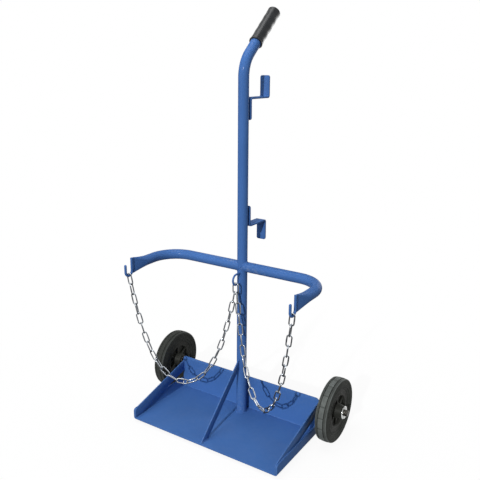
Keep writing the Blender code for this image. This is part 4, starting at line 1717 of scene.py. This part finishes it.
@dataclass
class Chains:
    """Both restraint chains of welded links, and the wider link in the eye."""

    arms: CylinderArms

    # Links
    wire: float = 0.004
    wire_sides: int = 12
    width: float = 0.018
    inner: float = 0.0325
    link_steps: int = 28
    weld_swell: float = 1.16
    bite: float = 0.0008

    # Hanging
    count: int = 24
    hang: float = 0.0011
    seat_rise: float = 0.0030
    spread: float = 0.0042
    centre_width: float = 0.024
    centre_back: float = 0.0205
    left: Hang = Hang(math.radians(32), 0.38)
    right: Hang = Hang(math.radians(28), 0.30)
    twist: float = 0.34
    twist_beat: float = 7.3

    # Search for the hanging line
    first_pull: float = 0.2
    rounds: int = 60
    step_share: float = 0.3
    least_step: float = 1e-12

    @property
    def centre_top(self) -> Vector:
        """Top of the inside of the centre link."""
        level = self.arms.eye_z - self.arms.eye_bend + self.arms.eye_rod / 2 + self.hang
        return Vector((0, self.arms.mast.front - self.centre_back, level))

    def ends(self) -> tuple[Vector, Vector]:
        """Finds where the left chain hangs.

        Returns:
            Its end in the left hook and its end on the centre link.
        """
        middle_y, middle_z = self.arms.hook_middle
        low = middle_z - self.arms.hook_bend + self.arms.hook_rod / 2 + self.hang
        top = self.centre_top
        eye = Vector((-self.spread, top.y, top.z - self.inner + self.seat_rise + self.hang))
        return Vector((-self.arms.half_span, middle_y, low)), eye

    def joints(self) -> list[Vector]:
        """Finds where the left chain's links meet as it hangs at rest.

        Each link lies along the pull in it, which is level pull and carried load. Both are
        stepped until the chain ends where it has to.

        Returns:
            One point more than there are links.
        """
        start, end = self.ends()
        length = self.inner + self.bite
        level = Vector((end.x - start.x, end.y - start.y, 0))
        span, rise = level.length, end.z - start.z
        pull, first = self.first_pull * self.count, -self.count / 2
        for _ in range(self.rounds):
            loads = [(first + i, math.hypot(pull, first + i)) for i in range(self.count)]
            miss_run = span - sum(length * pull / size for _, size in loads)
            miss_climb = rise - sum(length * load / size for load, size in loads)
            a = sum(length * load * load / size ** 3 for load, size in loads)
            b = -sum(length * pull * load / size ** 3 for load, size in loads)
            c = sum(length * pull * pull / size ** 3 for _, size in loads)
            scale = a * c - b * b
            step = (miss_run * c - b * miss_climb) / scale
            damp = min(1.0, self.step_share * pull / max(abs(step), self.least_step))
            first += damp * (a * miss_climb - b * miss_run) / scale
            pull += damp * step
        points = [start]
        for i in range(self.count):
            along = level.normalized() * pull + Vector((0, 0, first + i))
            points.append(points[-1] + along * (length / math.hypot(pull, first + i)))
        return points

    def link(self, name: str, width: float) -> Piece:
        """Models one link, lying along X with its middle at the origin, its weld on one side.

        Args:
            name: the link's name.
            width: the link's outside width.

        Returns:
            The link.
        """
        bend = (width - self.wire) / 2
        slide = (self.inner - 2 * (bend - self.wire / 2)) / 2
        swell = (1, self.weld_swell, self.weld_swell)
        bench = Bench(name)
        bench.torus(bend, self.wire / 2, (0, 0, 0), (0, 0, 1), self.link_steps, self.wire_sides)
        for way in (-1, 1):
            bench.pick(Element.POINT, lambda p, way=way: way * p.x > NEAR)
            bpy.ops.transform.translate(value=(way * slide, 0, 0))
        bench.pick(Element.POINT, lambda p: abs(p.x) < NEAR and p.y > 0)
        bpy.ops.transform.resize(value=swell, center_override=(0, bend, 0))
        return bench.done(SMOOTH_ROUND)

    def roll(self, number: int, hang: Hang) -> float:
        """Gives a link's turn about its length.

        Args:
            number: the link's number from the hook.
            hang: how its chain hangs.

        Returns:
            About a quarter more for every second link.
        """
        loose = self.twist * math.sin(self.twist_beat * number)
        if number == 0:
            loose = hang.first_roll
        elif number == self.count - 1:
            loose = 0.0
        return (number % 2) * QUARTER + loose

    def places(self, side: Side) -> list[Matrix]:
        """Finds the place of each link of one chain.

        Args:
            side: the side that it hangs on.

        Returns:
            The places from the hook to the centre link.
        """
        hang = self.left if side is Side.LEFT else self.right
        points = [Vector((-side.value * p.x, p.y, p.z)) for p in self.joints()]
        look = Vector((math.sin(hang.look), -math.cos(hang.look), 0))
        places = []
        for i, (here, after) in enumerate(zip(points, points[1:])):
            ahead = (after - here).normalized()
            level = look.cross(ahead).normalized()
            roll = self.roll(i, hang)
            across = level * math.cos(roll) + ahead.cross(level) * math.sin(roll)
            # Every second pair of links has its weld on the other side
            across = -across if i % 4 >= 2 else across
            place = Matrix((ahead, across, ahead.cross(across))).transposed().to_4x4()
            place.translation = here + ahead * (self.inner / 2)
            places.append(place)
        return places

    def chain(self, side: Side) -> Piece:
        """Copies the link along one chain.

        Args:
            side: the side that it hangs on.

        Returns:
            The chain.
        """
        pattern = self.link("link_pattern", self.width)
        return join(repeat(pattern, "link", self.places(side)), f"{side.word}_link_chain")

    def centre_link(self) -> Piece:
        """Stands the wider link up in the eye.

        Returns:
            The link.
        """
        pattern = self.link("centre_pattern", self.centre_width)
        place = Matrix(((0, 0, -1), (1, 0, 0), (0, -1, 0))).transposed().to_4x4()
        place.translation = self.centre_top - Vector((0, 0, self.inner / 2))
        return repeat(pattern, "wide_centre_link", [place])[0]

    def build(self, wardrobe: Wardrobe) -> None:
        """Builds and dresses both chains and the centre link.

        Args:
            wardrobe: the finishes.
        """
        for side in Side:
            wardrobe.dress(self.chain(side), Slot.ZINC, f"{side.word}_chain_body",
                           f"{side.word}_chain", plating=Plating.HUNG)
        wardrobe.dress(self.centre_link(), Slot.ZINC, FRAME_BODY, "chain_centre_link",
                       plating=Plating.HUNG)


@dataclass(frozen=True)
class Wear:
    """How grey each zone of a tyre is marked: scuff on tread and ribs, scuff and painted highlight
    at the edges, painted highlight lines on the side ring lands and the bead rings.
    """

    band: float
    rib: float
    edge: float
    # Painted highlight lines on the side ring lands and on the bead rings
    land: float
    bead: float


@dataclass
class Wheels:
    """Axle, and on each end a solid-tyred wheel between washers, kept by a split pin."""

    x: float = 0.311
    y: float = WALL_Y + 0.0153
    radius: float = 0.100

    # Tyre, with its sections as (place across it, rise)
    tyre_half: float = 0.019
    tyre_inner: float = 0.066
    tyre_steps: int = 216
    tyre_smooth: float = 34.0
    bead_section: Section = ((0.0150, 0), (0.0162, 0.0008), (0.0170, 0.0020), (0.0170, 0.0032),
                             (0.0162, 0.0040), (0.0162, 0.0048), (0.0172, 0.0056),
                             (0.0172, 0.0068), (0.0165, 0.0076), (0.0165, 0.0086),
                             (0.0178, 0.0096))
    side_rings: int = 4
    ring_foot: float = 0.0108
    ring_pitch: float = 0.0042
    ring_section: Section = ((0, 0), (0, 0.0020), (-0.0007, 0.0024), (-0.0007, 0.0036))
    edge_section: Section = ((-0.0001, -0.0066), (-0.0003, -0.0052), (-0.0010, -0.0030),
                             (-0.0022, -0.0017), (-0.0040, -0.0012))
    groove_section: Section = ((0.0024, -0.0010), (0.0021, -0.0026), (0.0003, -0.0026),
                               (0, -0.0002))
    band: float = 0.0076
    crown: float = 0.0030
    bars: int = 18
    bar_depth: float = 0.0010
    bar_reach: float = 0.0013

    # Greying of each tyre: scuff that fades from a depth under the tread over a length, plus
    # painted highlight lines on edges, side ring lands and bead rings. The left tyre is greyed far
    # less than the right, so it reads darker.
    right_wear: Wear = Wear(1.0, 0.3, 0.95, 0.14, 0.26)
    left_wear: Wear = Wear(0.11, 0.08, 0.24, 0.05, 0.14)
    band_fade: Pair = (0.0016, 0.0014)
    rib_fade: Pair = (0.0020, 0.0007)
    edge_fade: Pair = (0.0040, 0.0012)
    edge_zone: float = 0.0032
    side_zone: float = 0.0060
    bead_zone: Pair = (0.0168, 0.0174)

    # Wheel centre
    hub_half: float = 0.031
    hub_radius: float = 0.024
    hub_taper: float = 0.004
    rim_half: float = 0.015
    rim_thickness: float = 0.016
    web_half: float = 0.004
    centre_steps: int = 96
    bore_section: Section = ((0, 0), (0, 0.0012), (-0.0006, 0.0018))
    nose_section: Section = ((-0.0006, -0.0022), (0, -0.0016), (0, -0.0004), (-0.0008, 0))
    root_section: Section = ((0.004, -0.0007), (0.001, 0.0008), (0, 0.0035))
    well_section: Section = ((0, -0.002), (0.0012, 0.0006))
    rim_section: Section = ((-0.0012, -0.0006), (-0.0002, 0.0002), (0, 0.0014), (0, 0.0042),
                            (-0.0007, 0.0046), (-0.0007, 0.0060), (0, 0.0064), (0, 0.0094),
                            (-0.0007, 0.0098), (-0.0007, 0.0112), (0, 0.0116))
    lip_section: Section = ((0, -0.0014), (-0.0006, 0))
    ribs: int = 6
    rib_thickness: float = 0.006
    rib_width: float = 0.018
    rib_corner: float = 0.0016
    rib_foot: Triple = (1.25, 1.15, 1.0)

    # Bush, axle and washers
    bush_wall: float = 0.0035
    bush_edge: float = 0.0006
    axle_radius: float = 0.010
    axle_end: float = 0.3568
    end_section: Section = ((-0.0015, 0), (-0.0004, -0.0009), (0, -0.0020))
    shoulder_radius: float = 0.011
    shoulder_x: float = 0.2764
    shoulder_section: Section = ((-0.0005, 0), (0, -0.0005))
    turned_steps: int = 40
    washer: float = 0.003
    washer_edge: float = 0.0007
    outer_washer_radius: float = 0.020
    outer_washer_steps: int = 48
    inner_washer_radius: float = 0.015
    ease: float = 0.3

    # Split pin
    pin_x: float = 0.3483
    pin_wire: float = 0.0018
    pin_sides: int = 10
    pin_eye: float = 0.0032
    pin_eye_steps: int = 24
    pin_bend: float = 0.004
    pin_splay: float = math.radians(35)
    pin_tail: float = 0.0052
    pin_drop: float = 0.0005

    @property
    def level(self) -> float:
        """Height of the axle over the tray's underside."""
        return self.radius - LIFT

    def turned(self, name: str, profile: Sequence[Pair], x: float, steps: int) -> Bench:
        """Turns a profile round the axle's line.

        Args:
            name: the piece's name.
            profile: (place along X, radius) of its points.
            x: where the profile's zero is.
            steps: parts of the turn.

        Returns:
            The bench with the piece on it.
        """
        bench = Bench(name)
        bench.lathe(profile, (x, self.y, self.level), (1, 0, 0), (0, 0, 1), steps)
        return bench

    def tyre(self) -> Piece:
        """Turns the right tyre and cuts its cross grooves.

        Returns:
            The tyre.
        """
        r, side, low = self.radius, self.tyre_half, self.tyre_inner
        half = shifted(self.bead_section, 0, low)
        for i in range(self.side_rings):
            half += shifted(self.ring_section, side, low + self.ring_foot + i * self.ring_pitch)
        half += shifted(self.edge_section, side, r)
        half += shifted(self.groove_section, self.band, r) + [(self.crown, r)]
        bench = self.turned("right_solid_tyre", half + mirrored(half), self.x, self.tyre_steps)
        middle = Vector((self.x, self.y, self.level))
        every = self.tyre_steps // self.bars

        def cut_bars(point: Vector) -> Vector:
            """Lowers the tread at each cross groove.

            Args:
                point: a point of the turned tyre.

            Returns:
                Its place on the cut one.
            """
            away = point - middle
            flat = Vector((0, away.y, away.z))
            if flat.length < r - self.bar_reach or abs(away.x) > self.band + NEAR:
                return point
            turn = math.atan2(away.y, away.z) / FULL_TURN
            step = round(turn * self.tyre_steps) % self.tyre_steps
            return point if step % every else point - flat.normalized() * self.bar_depth

        bench.move_points(cut_bars)
        return bench.done(self.tyre_smooth)

    def mark(self, tyre: Piece, side: Side) -> None:
        """Greys a tyre, zone by zone, where it runs on the ground, and paints highlight lines on
        its edges, side ring lands and bead rings.

        Args:
            tyre: the tyre.
            side: the side that it is on.
        """
        zone_grey = self.left_wear if side is Side.LEFT else self.right_wear
        rolled_and_highlit = tyre.data.attributes.new("rolled_and_highlit", "FLOAT", "POINT")

        def grey_share(depth: float, fade: Pair) -> float:
            """Gives the share of the grey at a depth under the tread."""
            return (fade[0] - depth) / fade[1]

        for vert in tyre.data.vertices:
            depth = self.radius - math.hypot(vert.co.y - self.y, vert.co.z - self.level)
            across = abs(vert.co.x - side.value * self.x)
            if across < self.band + NEAR:
                grey = zone_grey.band * min(1.0, grey_share(depth, self.band_fade))
            # Painted highlight: pale lines on the side ring lands and the bead rings
            elif depth > self.side_zone:
                bead = zone_grey.bead if self.bead_zone[0] < across < self.bead_zone[1] else 0.0
                grey = zone_grey.land if across > self.tyre_half - NEAR else bead
            elif across > self.tyre_half - self.edge_zone:
                grey = zone_grey.edge * grey_share(depth, self.edge_fade)
            else:
                grey = zone_grey.rib * grey_share(depth, self.rib_fade)
            rolled_and_highlit.data[vert.index].value = min(1.0, max(0.0, grey))

    def rib(self, low: float, high: float) -> Piece:
        """Models one rib, standing up at the origin.

        Args:
            low: height of its foot.
            high: height of its top.

        Returns:
            The rib.
        """
        middle = (low + high) / 2
        bench = Bench("rib_pattern")
        bench.block((self.rib_width, self.rib_thickness, high - low), (0, 0, middle))
        bench.pick(Element.EDGE, lambda a, b: abs(a.x - b.x) < NEAR and abs(a.y - b.y) < NEAR)
        bench.bevel(self.rib_corner, segments=4)
        bench.pick(Element.POINT, lambda p: p.z < middle)
        bpy.ops.transform.resize(value=self.rib_foot, center_override=(0, 0, low))
        return bench.done()

    def centre(self) -> Piece:
        """Turns the right wheel centre and sets its ribs in.

        Returns:
            The wheel centre.
        """
        name = "right_moulded_centre"
        bore = self.axle_radius + self.bush_wall + 2 * SEAT
        nose = self.hub_radius - self.hub_taper
        outer = self.tyre_inner - SEAT
        inner = outer - self.rim_thickness
        half = shifted(self.bore_section, self.hub_half, bore)
        half += shifted(self.nose_section, self.hub_half, nose)
        half += shifted(self.root_section, self.web_half, self.hub_radius)
        half += shifted(self.well_section, self.web_half, inner - self.hub_taper)
        half += shifted(self.rim_section, self.rim_half, inner)
        half += shifted(self.lip_section, self.rim_half, outer)
        body = self.turned(name, half + mirrored(half), self.x, self.centre_steps).done()
        hub = Matrix.Translation((self.x, self.y, self.level))
        turns = (FULL_TURN * i / self.ribs for i in range(self.ribs))
        places = [hub @ Matrix.Rotation(turn, 4, "X") for turn in turns]
        rib = self.rib(nose, inner + self.rim_thickness / 2)
        return join([body] + repeat(rib, "rib", places), name)

    def ring_profile(self, length: float, inner: float, outer: float, edge: float) -> list[Pair]:
        """Draws the section of a plain ring with its outer edges eased.

        Args:
            length: size along X.
            inner: inside radius.
            outer: outside radius.
            edge: how much is taken off the edges.

        Returns:
            The closed profile.
        """
        ease = self.ease * edge
        return [(0, inner), (length, inner), (length, outer - edge),
                (length - ease, outer - ease), (length - edge, outer), (edge, outer),
                (ease, outer - ease), (0, outer - edge)]

    def axle(self) -> Piece:
        """Turns the axle with its shoulders and chamfered ends.

        Returns:
            The axle.
        """
        half = shifted(self.shoulder_section, self.shoulder_x, self.shoulder_radius)
        half += [(self.shoulder_x, self.axle_radius)]
        half += shifted(self.end_section, self.axle_end, self.axle_radius) + [(self.axle_end, 0)]
        return self.turned("turned_axle", mirrored(half) + half, 0.0, self.turned_steps).done()

    def pin(self) -> Piece:
        """Bends the right split pin.

        Returns:
            The pin.
        """
        half = self.pin_wire / 2
        top = self.level + self.axle_radius + self.pin_wire
        run = top - (self.level - self.axle_radius - self.pin_drop)
        eye = Bench("pin_eye")
        eye.torus(self.pin_eye, half, (self.pin_x, self.y, top + self.pin_eye), (1, 0, 0),
                  self.pin_eye_steps, self.pin_sides)
        parts = [eye.done()]
        for way in (-1, 1):
            leg = Bench("pin_leg")
            at = (self.pin_x, self.y + way * (half + SEAT), top)
            leg.ring(half, self.pin_sides, at, (0, 0, -1))
            splay = Bend(self.pin_bend, self.pin_splay, (0, way, 0), steps=6)
            leg.sweep([Straight(run, parts=2), splay, Straight(self.pin_tail)])
            parts.append(leg.done())
        return join(parts, "right_bent_pin")

    def bush(self) -> Piece:
        """Turns the right bush.

        Returns:
            The bush.
        """
        half, clear = self.hub_half, self.axle_radius + SEAT
        profile = self.ring_profile(2 * half, clear, clear + self.bush_wall, self.bush_edge)
        return self.turned("right_plain_bush", profile, self.x - half, self.turned_steps).done()

    def plain_washer(self, name: str, radius: float, x: float, steps: int) -> Piece:
        """Turns one of the right washers.

        Args:
            name: the washer's name.
            radius: its outside radius.
            x: where it begins.
            steps: parts of the turn.

        Returns:
            The washer.
        """
        clear = self.axle_radius + SEAT
        profile = self.ring_profile(self.washer, clear, radius, self.washer_edge)
        return self.turned(name, profile, x, steps).done()

    def build(self, wardrobe: Wardrobe) -> None:
        """Builds and dresses the axle and both wheels.

        Args:
            wardrobe: the finishes.
        """
        wheel = (("tyre", self.tyre(), Slot.TYRE), ("wheel_centre", self.centre(), Slot.CENTRE),
                 ("bush", self.bush(), Slot.BUSH))
        inside = self.x - self.hub_half - SEAT - self.washer
        outside = self.x + self.hub_half + SEAT
        inner = self.plain_washer("right_thin_washer", self.inner_washer_radius, inside,
                                  self.turned_steps)
        outer = self.plain_washer("right_wide_washer", self.outer_washer_radius, outside,
                                  self.outer_washer_steps)
        fixed = (("inner_washer", inner, Plating.OILED), ("outer_washer", outer, Plating.BRIGHT),
                 ("split_pin", self.pin(), Plating.BRIGHT))
        wardrobe.dress(self.axle(), Slot.ZINC, FRAME_BODY, "axle", plating=Plating.OILED)
        for node, right, slot in wheel:
            for side, piece in both_sides(right):
                if slot is Slot.TYRE:
                    self.mark(piece, side)
                wardrobe.dress(piece, slot, f"{side.word}_wheel", f"{side.word}_{node}")
        for node, right, plating in fixed:
            for side, piece in both_sides(right):
                wardrobe.dress(piece, Slot.ZINC, FRAME_BODY, f"{side.word}_{node}", plating=plating)


@dataclass(frozen=True)
class SoftLamp:
    """A wide soft lamp of the studio."""

    name: str
    at: Triple
    toward: Triple
    energy: float
    size: float


@dataclass
class Studio:
    """Pale floor, plain soft light and the camera."""

    # Floor and sky
    floor_size: float = 14.0
    floor_tone: float = 1.0
    floor_bounce: float = 0.18
    shadow_share: float = 0.10
    shadow_fade: Pair = (0.35, 1.1)
    sky: float = 0.15

    # Lamps
    key_azimuth: float = math.radians(9.5)
    key_height: float = math.radians(25.0)
    key_distance: float = 4.0
    key_strength: float = 2.36
    key_spread: float = math.radians(1.4)
    soft_lamps: tuple[SoftLamp, ...] = (
        SoftLamp("top_soft", (-0.4, -0.3, 3.2), (0, 0, 0.3), energy=38.0, size=1.6),
        SoftLamp("front_soft", (-1.2, -3.0, 1.6), (0, 0, 0.5), energy=22.0, size=2.0),
        SoftLamp("right_soft", (2.8, -0.3, 1.5), (0, 0, 0.5), energy=11.0, size=1.8),
        SoftLamp("rear_soft", (0.4, 3.2, 0.9), (0, 0, 0.6), energy=40.0, size=2.2),
    )

    # Camera
    eye_at: Triple = (0.9803, -1.49521, 1.1138)
    eye_turn: Triple = (math.radians(33.1875), math.radians(90 - 15.7564), math.radians(0.3115))
    lens: float = 45.969
    sensor: float = 36.0
    shift: Pair = (0.00279, -0.00025)

    def floor(self) -> None:
        """Lays a floor that shows white from the camera and still takes the cart's shadow."""
        bench = Bench("studio_floor")
        bench.plate(self.floor_size, self.floor_size, (0, 0, 0))
        floor = bench.done()
        board = MaterialBoard("pale_floor")
        board.tree.nodes.remove(board.shader)
        seen = self.seen_directly(board)
        tone = board.blend(seen, (self.floor_bounce,) * 3, (self.floor_tone,) * 3)
        matte = board.add("ShaderNodeBsdfDiffuse", {"Color": tone}).outputs[0]
        white = board.add("ShaderNodeEmission", {"Color": (1, 1, 1), "Strength": 1.0}).outputs[0]
        away = board.add("ShaderNodeVectorMath", {0: board.place()}, operation="LENGTH")
        white_share = (1.0 - self.shadow_share, 1.0)
        share = board.spread(away.outputs["Value"], self.shadow_fade, white_share)
        lit = board.math("MULTIPLY", share, seen)
        mixed = board.add("ShaderNodeMixShader", {0: lit, 1: matte, 2: white}).outputs[0]
        board.tree.links.new(mixed, board.tree.nodes["Material Output"].inputs["Surface"])
        floor.data.materials.append(board.material)

    @staticmethod
    def seen_directly(board: NodeBoard) -> Socket:
        """Gives 1 for what is seen straight, mirrored or through glass.

        Args:
            board: where the nodes go.

        Returns:
            The value.
        """
        path = board.add("ShaderNodeLightPath").outputs
        straight = board.math("MAXIMUM", path["Is Camera Ray"], path["Is Glossy Ray"])
        return board.math("MAXIMUM", straight, path["Is Transmission Ray"])

    def surroundings(self) -> None:
        """Makes the world white to look at, and a soft even light on the cart."""
        world = bpy.data.worlds.new("studio_surroundings")
        world.use_nodes = True
        bpy.context.scene.world = world
        board = NodeBoard(world.node_tree)
        shade = world.node_tree.nodes["Background"]
        strength = board.spread(self.seen_directly(board), (0.0, 1.0), (self.sky, 1.0))
        shade.inputs["Color"].default_value = (1, 1, 1, 1)
        board.tree.links.new(strength, shade.inputs["Strength"])

    def lamp(self, kind: LampKind, name: str, at: Vector, toward: Vector,
             **settings: object) -> None:
        """Hangs a lamp.

        Args:
            kind: the lamp's kind.
            name: its name.
            at: where it hangs.
            toward: the point that it looks at.
            settings: its own properties.
        """
        data = bpy.data.lights.new(name, kind.value)
        for key, value in settings.items():
            setattr(data, key, value)
        lamp = bpy.data.objects.new(name, data)
        lamp.location = at
        lamp.rotation_euler = (at - toward).to_track_quat("Z", "Y").to_euler()
        bpy.context.scene.collection.objects.link(lamp)

    def lamps(self) -> None:
        """Hangs the key light in front and wide soft lights round the cart."""
        level = math.cos(self.key_height)
        way = Vector((math.sin(self.key_azimuth) * level, -math.cos(self.key_azimuth) * level,
                      math.sin(self.key_height)))
        self.lamp(LampKind.SUN, "front_key", way * self.key_distance, Vector(),
                  energy=self.key_strength, angle=self.key_spread)
        for soft in self.soft_lamps:
            self.lamp(LampKind.SOFT, soft.name, Vector(soft.at), Vector(soft.toward),
                      energy=soft.energy, size=soft.size)

    def camera(self) -> None:
        """Sets the camera up."""
        data = bpy.data.cameras.new("cart_camera")
        data.sensor_width = self.sensor
        data.lens = self.lens
        data.shift_x, data.shift_y = self.shift
        camera = bpy.data.objects.new("cart_camera", data)
        bpy.context.scene.collection.objects.link(camera)
        turn, tilt, roll = self.eye_turn
        camera.matrix_world = (Matrix.Translation(self.eye_at) @ Matrix.Rotation(turn, 4, "Z")
                               @ Matrix.Rotation(tilt, 4, "X") @ Matrix.Rotation(roll, 4, "Z"))
        bpy.context.scene.camera = camera

    def build(self) -> None:
        """Sets up the whole studio."""
        bpy.context.scene.view_settings.view_transform = "Standard"
        self.camera()
        self.floor()
        self.surroundings()
        self.lamps()
        LOG.info("studio set up")


def main() -> None:
    """Builds the cart and the studio in order."""
    logging.basicConfig(level=logging.INFO, format="%(name)s: %(message)s")
    wardrobe = Wardrobe()
    wardrobe.fill()
    mast = Mast()
    arms = CylinderArms(mast)
    for assembly in (Tray(mast.front), mast, arms, HoseHooks(mast), Chains(arms), Wheels()):
        assembly.build(wardrobe)
    Studio().build()


if __name__ == "__main__":
    main()
